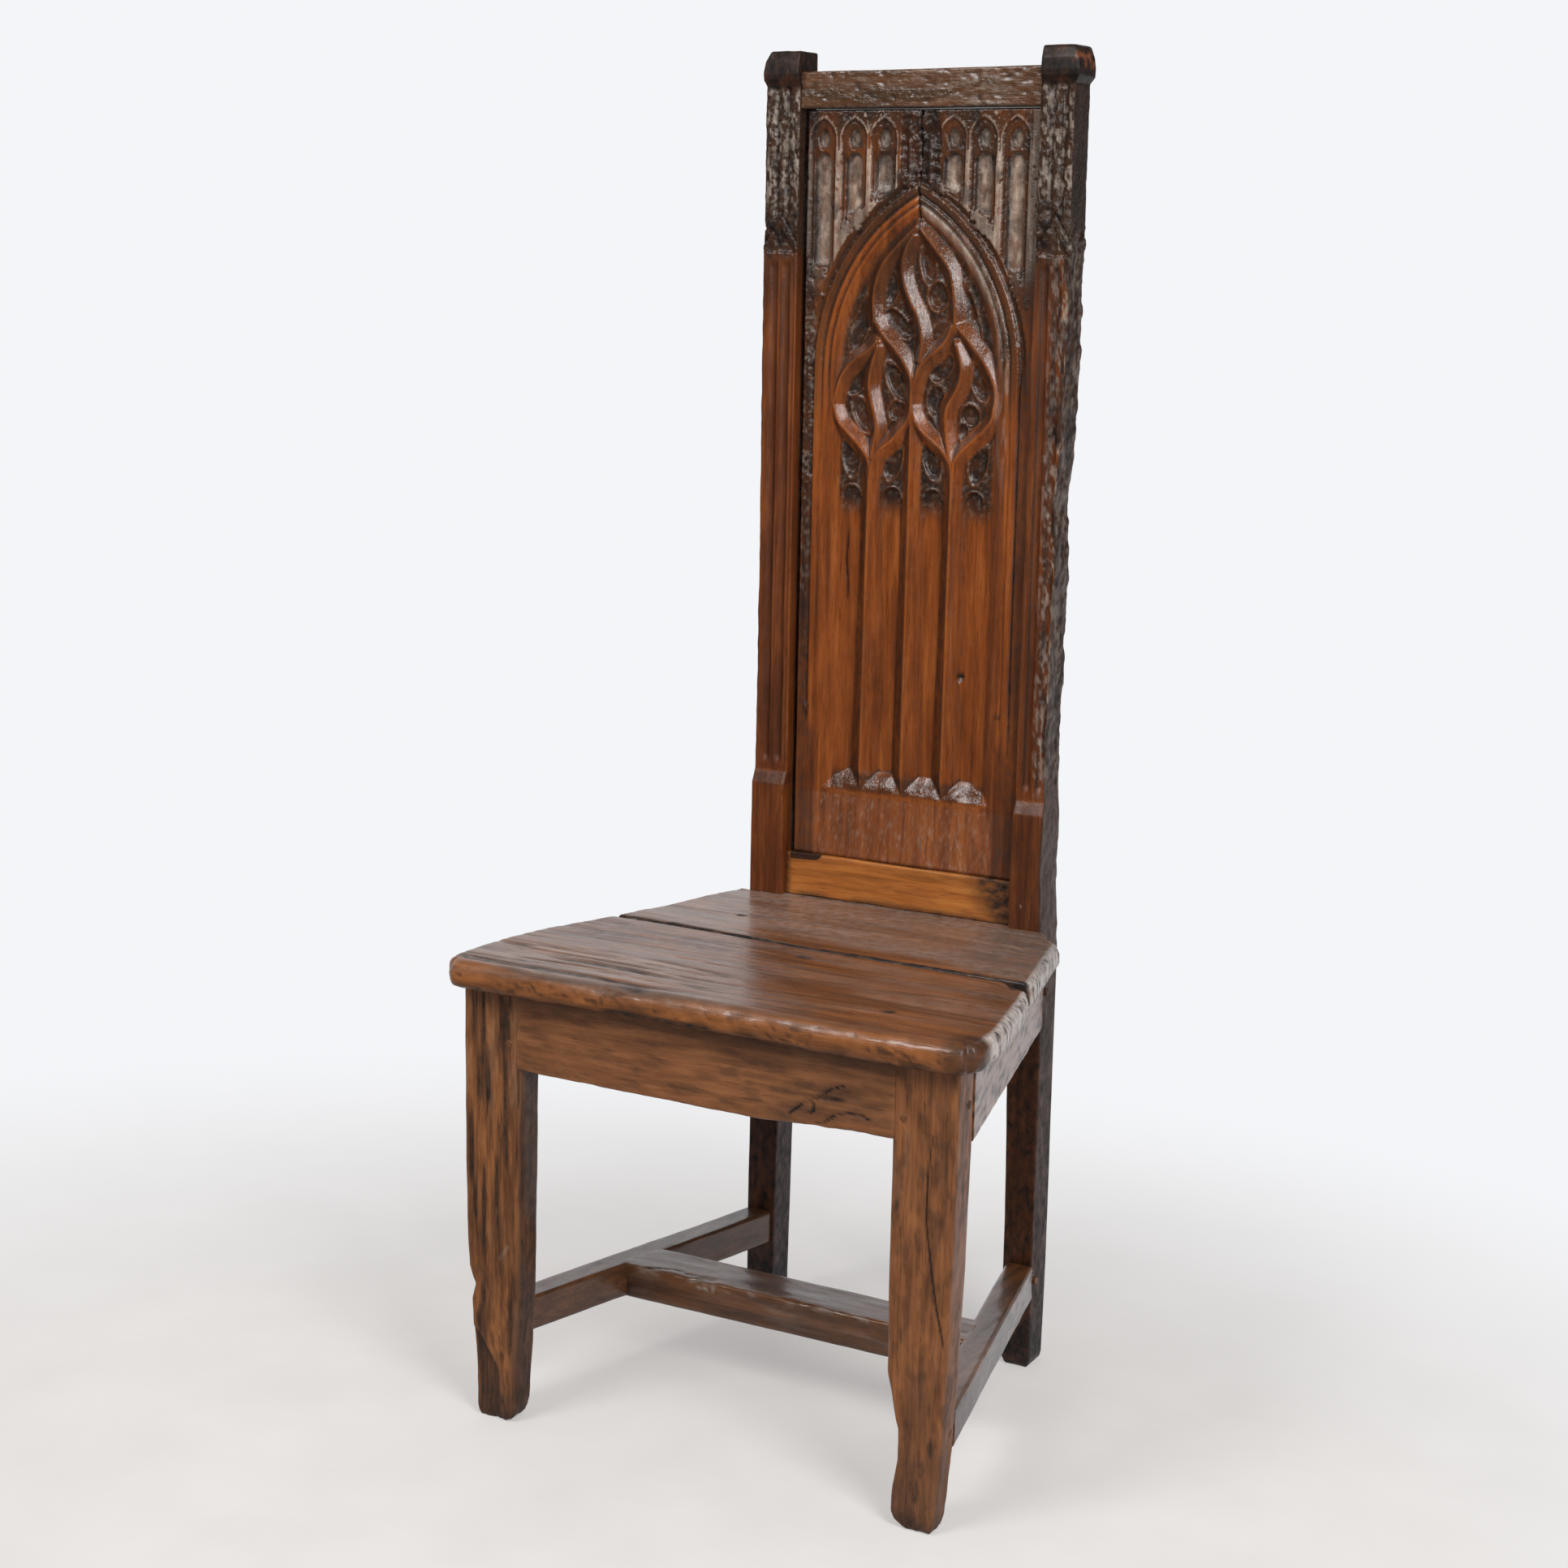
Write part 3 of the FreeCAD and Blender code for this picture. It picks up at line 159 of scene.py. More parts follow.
def distance_to(course: Course, points: Array) -> Array:
    """Measures how far each point is from a line of straight runs.

    Args:
        course: the places that the line goes through.
        points: the points, with as many numbers each as the course has.

    Returns:
        A distance for each point.
    """
    line = np.asarray(course, float)
    nearest = np.full(len(points), np.inf)
    for start, end in zip(line, line[1:]):
        run = end - start
        share = np.clip((points - start) @ run / max(run @ run, 1e-9), 0, 1)
        gap = points - start - share[:, None] * run
        nearest = np.minimum(nearest, np.einsum("ij,ij->i", gap, gap))
    return np.sqrt(nearest)


class Axis(Enum):
    """The way that a timber's length runs, as the order of X, Y and Z for breadth, depth and length."""

    UP = (0, 1, 2)
    ACROSS = (1, 2, 0)
    BACK = (2, 0, 1)

    def to_chair(self, place: Array) -> Array:
        """Turns breadth, depth and length into X, Y and Z.

        Args:
            place: breadth, depth and length, one point per row.

        Returns:
            The same points as X, Y and Z.
        """
        points = np.empty_like(place)
        points[:, list(self.value)] = place
        return points


class Grain(Enum):
    """Where a finish reads the way of the grain from."""

    DRAWN = "grain"
    OBJECT = "object"


def add_node(tree: bpy.types.NodeTree, kind: str, inputs: dict | None = None,
             **settings: object) -> bpy.types.Node:
    """Adds one node with its settings, values and links.

    Args:
        tree: the material's or world's nodes.
        kind: Blender's name for the node.
        inputs: what goes into each socket, by name or number: another node's socket, or a value.
        settings: the node's own properties.

    Returns:
        The new node.
    """
    node = tree.nodes.new(kind)
    for name, value in settings.items():
        setattr(node, name, value)
    for name, value in (inputs or {}).items():
        if isinstance(value, bpy.types.NodeSocket):
            tree.links.new(value, node.inputs[name])
        else:
            node.inputs[name].default_value = value
    return node


@dataclass(frozen=True)
class OakFinish:
    """Old oak, worked by hand, waxed for centuries and worn by use.

    Wax gives it a soft sheen over open pores. The colour runs in long streaks along the grain, is pale and
    warm where hands polish it and where highlights are painted, greyer where it is bleached and where sheen
    is painted, and nearly black where wax and dust have settled and where shade is painted.
    streak, pore and blotch are widths across the grain in mm, and pore_depth is in mm too.
    """

    name: str
    heart: str
    pale: str
    deep: str
    grime_and_shade: str = "#150C07"
    bleach_and_sheen: str = "#8A7B6C"
    aged: str = "#36271D"
    streak: float = 8.0
    pore: float = 1.6
    blotch: float = 55.0
    roughness: float = 0.38
    coat: float = 0.12
    pore_depth: float = 0.35
    specular: float = 0.5

    def material(self, grain: Grain = Grain.DRAWN) -> bpy.types.Material:
        """Makes the finish as a material.

        Args:
            grain: whether the way of the grain is drawn on the mesh or taken from its place.

        Returns:
            The material.
        """
        made = bpy.data.materials.new(f"{self.name} {grain.value}")
        made.use_nodes = True
        made.node_tree.nodes.clear()
        node = partial(add_node, made.node_tree)
        if grain is Grain.DRAWN:
            along = node("ShaderNodeAttribute", attribute_name="grain").outputs["Vector"]
        else:
            place = node("ShaderNodeTexCoord").outputs["Object"]
            along = node("ShaderNodeVectorMath", {0: place, "Scale": 1 / MM}, operation="SCALE").outputs[0]
        marks = {m: node("ShaderNodeAttribute", attribute_name=m).outputs["Fac"] for m in MARKS}

        # Each pattern's share along the grain, size across it in mm, detail and twist.
        # Real pores are a third of this across: they are drawn coarser so that they show.
        patterns = {
            "streaks": (0.06, self.streak, 4, 0.6), "pores": (0.07, self.pore, 2, 0.0),
            "blotches": (0.45, self.blotch, 4, 0.8), "patches": (0.6, self.blotch / 7, 5, 0.0),
            "fibres": (0.5, 2.6, 3, 0.0), "dents": (0.8, 3.8, 2, 0.0),
        }
        drawn = {}
        for name, (stretch, cell, detail, twist) in patterns.items():
            place = node("ShaderNodeVectorMath", {0: along, 1: (1, 1, stretch)}, operation="MULTIPLY")
            drawn[name] = node("ShaderNodeTexNoise", {
                "Vector": place.outputs[0], "Scale": 1 / cell, "Detail": detail, "Roughness": 0.6,
                "Distortion": twist,
            }).outputs["Fac"]

        broad = node("ShaderNodeMath", {0: drawn["blotches"], 1: 0.38}, operation="MULTIPLY").outputs[0]
        tone = node("ShaderNodeMath", {0: drawn["streaks"], 1: 0.62, 2: broad}, operation="MULTIPLY_ADD")
        ramp = node("ShaderNodeValToRGB", {0: tone.outputs[0]})
        stops = ramp.color_ramp.elements
        stops[0].position, stops[0].color = 0.30, linear(self.deep)
        stops[1].position, stops[1].color = 0.71, linear(self.pale)
        stops.new(0.5).color = linear(self.heart)
        opened = node("ShaderNodeMapRange", {"Value": drawn["pores"], "From Min": 0.54, "From Max": 0.70,
                                             "To Max": 0.55}).outputs[0]
        colour = node("ShaderNodeMix", {0: opened, 6: ramp.outputs["Color"], 7: linear(self.deep)},
                      data_type="RGBA").outputs[2]

        fresh = node("ShaderNodeMapRange", {"Value": marks["age"], "To Min": 1.0, "To Max": 0.12}).outputs[0]
        marks["wear_and_highlight"] = node("ShaderNodeMath", {0: marks["wear_and_highlight"], 1: fresh}, operation="MULTIPLY").outputs[0]
        # What lies on the wood, with the painted shade, highlights and sheen, lowest first: how far the
        # patches let each mark through, and its colour.
        layers = {
            "age": (0.25, 0.6, 0.75, 1.0, self.aged), "wear_and_highlight": (0.3, 0.65, 0.15, 0.9, self.pale),
            "grey_and_sheen": (0.3, 0.62, 0.3, 1.0, self.bleach_and_sheen), "dirt_and_shade": (0.3, 0.7, 0.6, 1.3, self.grime_and_shade),
        }
        laid = {}
        for name, (first, last, least, most, over) in layers.items():
            through = node("ShaderNodeMapRange", {
                "Value": drawn["patches"], "From Min": first, "From Max": last,
                "To Min": least, "To Max": most,
            }).outputs[0]
            laid[name] = node("ShaderNodeMath", {0: marks[name], 1: through}, operation="MULTIPLY",
                              use_clamp=True).outputs[0]
            colour = node("ShaderNodeMix", {0: laid[name], 6: colour, 7: linear(over)},
                          data_type="RGBA").outputs[2]

        gloss = node("ShaderNodeMapRange", {"Value": drawn["patches"], "From Min": 0.25, "From Max": 0.75,
                                            "To Min": self.roughness - 0.07,
                                            "To Max": self.roughness + 0.12}).outputs[0]
        for amount, weight in ((laid["grey_and_sheen"], 0.16), (laid["wear_and_highlight"], -0.05), (laid["dirt_and_shade"], 0.32),
                               (marks["age"], -0.07)):
            gloss = node("ShaderNodeMath", {0: amount, 1: weight, 2: gloss},
                         operation="MULTIPLY_ADD").outputs[0]
        height = node("ShaderNodeMapRange", {"Value": drawn["pores"], "From Min": 0.5, "From Max": 0.7,
                                             "To Max": -0.7}).outputs[0]
        battered = node("ShaderNodeMath", {0: marks["age"], 1: marks["age"]}, operation="MULTIPLY").outputs[0]
        dented = node("ShaderNodeMath", {0: drawn["dents"], 1: battered}, operation="MULTIPLY").outputs[0]
        for amount, weight in ((drawn["fibres"], 0.8), (drawn["patches"], 1.6), (dented, 7.5)):
            height = node("ShaderNodeMath", {0: amount, 1: weight, 2: height},
                          operation="MULTIPLY_ADD").outputs[0]
        bump = node("ShaderNodeBump", {"Strength": 0.55, "Distance": self.pore_depth * MM, "Height": height})
        shader = node("ShaderNodeBsdfPrincipled", {
            "Base Color": colour, "Roughness": gloss, "Normal": bump.outputs[0], "IOR": 1.45,
            "Specular IOR Level": self.specular, "Coat Weight": self.coat, "Coat Roughness": 0.16,
        })
        node("ShaderNodeOutputMaterial", {"Surface": shader.outputs[0]})
        return made


# Sawn boards that are seldom touched: an even brown under a soft wax sheen.
APRON_OAK = OakFinish("waxed oak of the aprons", "#784B2C", "#94603A", "#583721", bleach_and_sheen="#A0958C",
                      roughness=0.36, coat=0.5)
# Bars that shoes rub: dark, with a shine of wax on top, pale grey chips, and a grey painted sheen on the
# tops.
FRAME_OAK = OakFinish("waxed oak of the stretchers", "#563620", "#784D2D", "#332012", bleach_and_sheen="#A0958C",
                      roughness=0.34, coat=0.7)
# A leg that is nearly dry of wax: strong dark and light streaks along the grain.
LEFT_LEG_OAK = OakFinish("worn oak of the left leg", "#6A4022", "#986033", "#38200F", streak=4.0,
                         roughness=0.42, coat=0.3)
# A leg that has kept its wax: a warm and more even brown.
RIGHT_LEG_OAK = OakFinish("worn oak of the right leg", "#764828", "#965E33", "#482915", streak=4.5,
                          roughness=0.4, coat=0.3)
# Cut with gouges and rubbed for centuries: red brown, with sharp lights on the ribs, and a pale grey for
# painted highlights and sheen.
CARVED_OAK = OakFinish("carved and waxed oak", "#7A3E18", "#9B5725", "#4B260F", bleach_and_sheen="#B9A594",
                       roughness=0.2, coat=0.25)
# Planed and fluted: a deeper red brown with a low shine, and a pale grey for painted glints.
POST_OAK = OakFinish("moulded and waxed oak", "#623217", "#864A21", "#3A1C0C", bleach_and_sheen="#A5978A",
                     roughness=0.3, coat=0.1, specular=0.35)
# Polished by cloth: satin, with long streaks, pale grey at the bare ends, and a grey painted sheen on the
# top.
SEAT_OAK = OakFinish("oak polished by sitting", "#6C4225", "#965B2E", "#422815", bleach_and_sheen="#C8C0BA",
                     streak=9.0, roughness=0.3, coat=0.3)
# Sheltered by the seat and the panel: the warmest and palest of the timbers.
LOWER_RAIL_OAK = OakFinish("warm waxed oak", "#A56027", "#BE7A38", "#704018", roughness=0.34)
# A rail that hands take hold of: brown, dimpled and shiny.
TOP_RAIL_OAK = OakFinish("brown waxed oak", "#5C3822", "#7E563C", "#382215", aged="#44301F", roughness=0.29,
                         coat=0.4)
# A repair stained to match: nearly black.
SLIP_OAK = OakFinish("dark stained oak", "#2E1B10", "#432818", "#1B0F09")
# Whittled pegs cut across the grain: fine pores and a dull end.
PEG_OAK = OakFinish("end grain oak", "#6C4224", "#85552E", "#4E2F19", streak=2.5, blotch=12.0, roughness=0.42)


@dataclass
class Skin:
    """The outside of one piece, with what each of its points has been through and the light and shade painted
    on it.

    grain holds each point in the timber's own directions, its length last.
    """

    points: Array
    faces: Sequence[Sequence[int]]
    grain: Array
    marks: dict[str, Array] = field(default_factory=dict)

    def __post_init__(self) -> None:
        """Starts with clean, unworn timber."""
        for name in MARKS:
            self.marks.setdefault(name, np.zeros(len(self.points)))

    def normals(self) -> Array:
        """Works out which way the surface faces at each point.

        Returns:
            A way of length 1 for each point.
        """
        quads = np.asarray(self.faces)
        corners = self.points[quads]
        across = np.cross(corners[:, 2] - corners[:, 0], corners[:, 3] - corners[:, 1])
        total = np.zeros_like(self.points)
        for corner, way in itertools.product(range(4), range(3)):
            total[:, way] += np.bincount(quads[:, corner], across[:, way], len(self.points))
        return total / np.maximum(np.linalg.norm(total, axis=1), 1e-9)[:, None]

    def facing(self, way: Sequence[float]) -> Array:
        """How squarely each point faces a way, from 0 to 1."""
        return np.clip(self.normals() @ np.asarray(way, float), 0, 1)

    def push(self, amount: Array) -> None:
        """Moves the surface out, or in where the amount is below 0."""
        self.points = self.points + self.normals() * np.broadcast_to(amount, len(self.points))[:, None]

    def roughen(self, cell: float | Sequence[float], depth: float, seed: int,
                where: float | Array = 1.0) -> None:
        """Makes the surface uneven by lumps of one cell."""
        self.push(depth * layered(self.grain, cell, seed) * where)

    def mark(self, name: str, amount: Array) -> None:
        """Adds dirt and painted shade, wear and painted highlight, grey and painted sheen, or age where there
        is less of it.
        """
        self.marks[name] = np.maximum(self.marks[name], np.clip(amount, 0, 1))

    def mottle(self, name: str, amount: float | Array, cell: float | Sequence[float], seed: int, start: float,
               end: float) -> None:
        """Adds a mark in lumps of one cell: none where their noise is at start, all of it at end."""
        self.mark(name, amount * ease(layered(self.grain, cell, seed), start, end))

    def crack(self, course: Course, width: float, depth: float) -> None:
        """Opens a dark crack along a course of points.

        Args:
            course: the places that it runs through.
            width: how far its dark reaches to each side.
            depth: how deep it is.
        """
        open_share = 1 - ease(distance_to(smooth_line(course), self.points), 0.3 * width, width)
        self.push(-depth * open_share)
        self.mark("dirt_and_shade", open_share)

    def make(self, name: str, slot: str, finish: bpy.types.Material) -> None:
        """Turns the skin into a piece of the chair.

        Args:
            name: the piece's name, and that of the CAD node that it stands for.
            slot: not used.
            finish: its material.
        """
        mesh = bpy.data.meshes.new(name)
        self.points[:, 2] = np.maximum(self.points[:, 2], 0.0)
        mesh.from_pydata((self.points * MM).tolist(), [], [list(map(int, f)) for f in self.faces])
        mesh.polygons.foreach_set("use_smooth", np.ones(len(mesh.polygons), bool))
        grain = mesh.attributes.new("grain", "FLOAT_VECTOR", "POINT")
        grain.data.foreach_set("vector", np.ascontiguousarray(self.grain, np.float32).ravel())
        for mark, amount in self.marks.items():
            values = mesh.attributes.new(mark, "FLOAT", "POINT")
            values.data.foreach_set("value", np.ascontiguousarray(amount, np.float32))
        mesh.materials.append(finish)
        mesh.update()
        piece = bpy.data.objects.new(name, mesh)
        bpy.context.scene.collection.objects.link(piece)
        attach(piece, "root")
        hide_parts(name)
        LOG.info("made %s with %d faces", name, len(mesh.polygons))


def stations(low: float, high: float, step: float, soft_low: float, soft_high: float) -> Array:
    """Sets out places along a side: even in the middle, and closer over each softened edge.

    Args:
        low: where the side starts.
        high: where it ends.
        step: about how far apart the places are.
        soft_low: the radius of the edge at its start.
        soft_high: the radius of the edge at its end.

    Returns:
        The places, from low to high.
    """
    turns = 1 - np.tan(np.radians([45, 30, 15, 0]))
    start, end = low + soft_low * turns, high - soft_high * turns
    count = max(1, round((end[-1] - start[-1]) / step))
    return np.concatenate([start[:-1], np.linspace(start[-1], end[-1], count + 1), end[-2::-1]])


def box_lattice(counts: Sequence[int]) -> tuple[Array, Array]:
    """Sets out the outside of a box as one closed net.

    Args:
        counts: how many places there are along each of the box's three ways.

    Returns:
        The three place numbers of each point, and the points round each four-sided face.
    """
    inner = tuple(slice(1, -1) for _ in range(3))
    outside = np.ones(counts, bool)
    outside[inner] = False
    number = np.full(counts, -1)
    number[outside] = np.arange(outside.sum())
    faces = []
    for side, flip in ((0, True), (-1, False)):
        for net in (number[side], number[:, side].T, number[:, :, side]):
            quads = np.stack([net[:-1, :-1], net[1:, :-1], net[1:, 1:], net[:-1, 1:]], -1).reshape(-1, 4)
            faces.append(quads[:, ::-1] if flip else quads)
    return np.argwhere(outside), np.vstack(faces)


def soften(place: Array, low: Array, high: Array, ways: tuple[int, int], radii: Array) -> Array:
    """Rounds the four edges where two pairs of sides meet.

    Args:
        place: points on the outside of a box.
        low: the box's low sides at each point.
        high: the box's high sides at each point.
        ways: the two directions across the edges.
        radii: the radius at each edge, first by the low or high side of one way, then of the other.

    Returns:
        The points, with the edges rounded.
    """
    made = place.copy()
    first, second = ways
    for i, j in itertools.product((0, 1), repeat=2):
        radius = radii[i][j]
        gaps = []
        for way, is_high in ((first, i), (second, j)):
            gaps.append(high[:, way] - place[:, way] if is_high else place[:, way] - low[:, way])
        into = [np.clip(radius - g, 0, None) for g in gaps]
        near = (into[0] > 0) & (into[1] > 0)
        share = np.maximum(*into) / np.maximum(np.hypot(*into), 1e-9)
        for way, is_high, gap, depth in zip((first, second), (i, j), gaps, into):
            moved = radius - depth * share - gap
            made[near, way] += (-moved if is_high else moved)[near]
    return made


@dataclass
class Timber:
    """One straight length of timber with softened edges.

    Breadth, depth and length are X, Y and Z for an upright, Y, Z and X for a rail that runs across,
    and Z, X and Y for one that runs back. courses says how a side moves along the length: "breadth_low",
    "breadth_high", "depth_low" and "depth_high", each as (length, place) pairs.
    """

    axis: Axis
    low: tuple[float, float, float]
    high: tuple[float, float, float]
    step: tuple[float, float, float] = (4.0, 4.0, 8.0)
    soft: float | Sequence[Sequence[float]] = 4.0
    end_soft: float = 2.0
    seed: int = 1
    courses: dict[str, Course] = field(default_factory=dict)
    rows: Array | None = None
    edge: Array = field(default_factory=lambda: np.zeros(0))

    def skin(self) -> Skin:
        """Makes the timber's outside, with worn edges marked.

        Returns:
            The skin, in the chair's place.
        """
        radii = np.full((2, 2), self.soft) if np.isscalar(self.soft) else np.asarray(self.soft, float)
        breadth = stations(self.low[0], self.high[0], self.step[0], radii[0].max(), radii[1].max())
        depth = stations(self.low[1], self.high[1], self.step[1], radii[:, 0].max(), radii[:, 1].max())
        length = self.rows
        if length is None:
            length = stations(self.low[2], self.high[2], self.step[2], self.end_soft, self.end_soft)
        index, faces = box_lattice((len(breadth), len(depth), len(length)))
        place = np.stack([breadth[index[:, 0]], depth[index[:, 1]], length[index[:, 2]]], 1)
        low, high = np.tile(self.low, (len(place), 1)), np.tile(self.high, (len(place), 1))
        for way, name in enumerate(("breadth", "depth")):
            share = (place[:, way] - self.low[way]) / (self.high[way] - self.low[way])
            for side, end in ((low, "low"), (high, "high")):
                if f"{name}_{end}" in self.courses:
                    side[:, way] = follow(self.courses[f"{name}_{end}"], place[:, 2])
            place[:, way] = low[:, way] + share * (high[:, way] - low[:, way])
        gaps = np.sort(np.minimum(place - low, high - place), axis=1)
        self.edge = gaps[:, 1]
        place = soften(place, low, high, (0, 1), radii)
        ends = np.full((2, 2), self.end_soft)
        place = soften(place, low, high, (0, 2), ends)
        place = soften(place, low, high, (1, 2), ends)
        skin = Skin(self.axis.to_chair(place), faces, place + np.array(GRAIN_SHIFT) * self.seed)
        patchy = 0.55 + 0.6 * noise(skin.grain, (20, 20, 45), self.seed + 60)
        skin.mark("wear_and_highlight", np.exp(-self.edge / 4.0) * patchy)
        return skin


@dataclass
class FrontLegs:
    """The two square front legs, cut away and rounded at the feet by wear."""

    front: float = -202.5
    inner: float = 200.0
    top: float = 440.0
    left_outer: Course = ((0, -250), (12, -252), (37, -252), (79, -254), (121, -256), (136, -253),
                          (154, -259), (203, -262), (286, -263), (440, -264))
    left_inner: Course = ((0, -216), (6, -210), (20, -206), (48, -204), (132, -200), (216, -199), (354, -197),
                          (440, -199))
    right_inner: Course = ((0, 221), (6, 212), (15, 206), (40, 208), (65, 212), (96, 212), (126, 205),
                           (148, 200), (217, 199), (440, 200))
    right_outer: Course = ((0, 247), (12, 250), (60, 254), (120, 257), (200, 260), (300, 262), (440, 264))
    right_cracks: tuple[tuple[Course, float, float], ...] = (
        (((240, -203, 376), (236, -203, 345), (235, -203, 300), (241, -203, 256), (247, -203, 220),
          (254, -203, 191), (261, -203, 162)), 1.7, 2.5),
        (((231, -203, 404), (233, -203, 380), (240, -203, 340)), 1.3, 1.2),
    )
    burns: Course = ((248, 296, 9), (206, 306, 6), (246, 84, 7), (231, 40, 14), (238, 62, 10))
    stain: Course = ((232, 128), (236, 66))
    scar_line: Course = ((0, -222), (55, -225), (85, -245), (100, -264))
    pale_chip: Course = ((-222, 168), (-213, 183))

    def timber(self, side: int) -> Timber:
        """Sets out one leg.

        Args:
            side: -1 for the left leg and 1 for the right one.

        Returns:
            The leg, before its wear.
        """
        ends = sorted((side * self.inner, side * LEG_OUTER))
        low, high = (self.left_outer, self.left_inner) if side < 0 else (self.right_inner, self.right_outer)
        back = ((0, LEG_BACK - 5), (10, LEG_BACK - 2), (90, LEG_BACK - 1), (self.top, LEG_BACK))
        front = ((0, self.front + 4), (8, self.front + 1.5), (60, self.front + 0.5), (self.top, self.front))
        courses = {"breadth_low": low, "breadth_high": high, "depth_low": front, "depth_high": back}
        return Timber(Axis.UP, (ends[0], self.front, 0.0), (ends[1], LEG_BACK, self.top), (1.8, 3.0, 2.8),
                      4.5, 3.0, seed=3 + side, courses=courses)

    def build(self, left_finish: bpy.types.Material, right_finish: bpy.types.Material) -> None:
        """Makes both legs.

        Args:
            left_finish: the oak of the left leg.
            right_finish: the oak of the right leg.
        """
        legs = ((-1, "front_leg_left", left_finish), (1, "front_leg_right", right_finish))
        for side, name, finish in legs:
            timber = self.timber(side)
            skin = timber.skin()
            height = skin.points[:, 2]
            edge = np.exp(-timber.edge / 7)
            low_down = 1 - ease(height, 60, 260)
            skin.roughen((30, 30, 110), 0.9, 11 + side)
            skin.roughen((9, 9, 34), 0.9, 15 + side, edge * (0.4 + low_down))
            skin.roughen((3.5, 3.5, 26), 0.35, 19 + side, 0.5 + 0.5 * low_down)
            skin.mark("dirt_and_shade", 0.7 * (1 - ease(height, 0, 45 + 25 * noise(skin.grain, 25, 23))))
            skin.mottle("dirt_and_shade", 0.5 if side < 0 else 0.3, (9, 9, 130), 29 + side, 0.3, 0.8)
            skin.mottle("grey_and_sheen", 0.12, (14, 14, 90), 31 + side, 0.2, 0.7)
            if side < 0:
                self.break_left(skin)
            else:
                self.stain_right(skin, height)
            skin.make(name, "oak_frame", finish)

    def break_left(self, skin: Skin) -> None:
        """Breaks away the left leg's lower outer corner and a patch above it.

        Args:
            skin: the left leg.
        """
        front = skin.facing((0, -1, 0))
        x, z = skin.points[:, 0], skin.points[:, 2]
        line = follow(self.scar_line, z)
        scar = ease(line - x, -1.5, 1.5) * front
        skin.push(-4.0 * scar + 1.0 * scar * noise(skin.grain, (5, 5, 14), 43))
        patch = 1 - ease(np.hypot((x + 247) / 9, (z - 131) / 26), 0.6, 1.0)
        skin.push(-2.5 * patch * front)
        speckle = ease(layered(skin.grain, (3, 3, 9), 47), -0.3, 0.4)
        right_of_scar = ease(x - line, 0, 3) * (1 - ease(x, -216, -206)) * (1 - ease(z, 90, 150)) * front
        skin.mark("wear_and_highlight", 0.6 * patch + right_of_scar * speckle)
        skin.mark("dirt_and_shade", 0.6 * scar)
        skin.mottle("dirt_and_shade", 0.75 * front, (5, 5, 60), 49, 0.0, 0.5)
        skin.mottle("wear_and_highlight", 0.9 * front, (5, 5, 60), 49, -0.15, -0.55)
        chip = distance_to(self.pale_chip, skin.points[:, [0, 2]])
        skin.mark("grey_and_sheen", 0.9 * (1 - ease(chip, 0.4, 2.2)) * front)
        # Painted shade on the inner side of the leg, under the chair.
        skin.mark("dirt_and_shade", 0.6 * skin.facing((1, 0, 0)))

    def stain_right(self, skin: Skin, height: Array) -> None:
        """Splits, stains and mottles the right leg.

        Args:
            skin: the right leg.
            height: how high each point was before it was worn.
        """
        for course, width, depth in self.right_cracks:
            skin.crack(course, width, depth)
        x, front = skin.points[:, 0], skin.facing((0, -1, 0))
        for place, level, size in self.burns:
            burn = np.hypot((x - place) / 0.7, (height - level) / 1.5)
            burn = burn * (1 + 0.5 * layered(skin.grain, (5, 5, 12), 48))
            skin.mark("dirt_and_shade", 0.65 * (1 - ease(burn, 0.3 * size, 1.2 * size)) * front)
        stain = 1 - ease(distance_to(self.stain, skin.points[:, [0, 2]]), 4, 22)
        skin.mark("dirt_and_shade", 0.3 * stain * (0.5 + 0.6 * noise(skin.grain, (8, 8, 30), 41)))
        skin.mottle("wear_and_highlight", 0.5 * front, (12, 12, 60), 45, -0.1, 0.5)
        dark_side = ease(x, 238, 262) * ease(height, 250, 330)
        skin.mottle("dirt_and_shade", 0.55 * dark_side, (6, 6, 30), 46, -0.3, 0.4)
        skin.mark("dirt_and_shade", 0.35 * (1 - ease(height, 60, 100)))
        skin.mottle("dirt_and_shade", 0.4, (7, 7, 22), 52, 0.12, 0.5)
        skin.mottle("wear_and_highlight", 0.6, (7, 7, 22), 52, -0.12, -0.5)


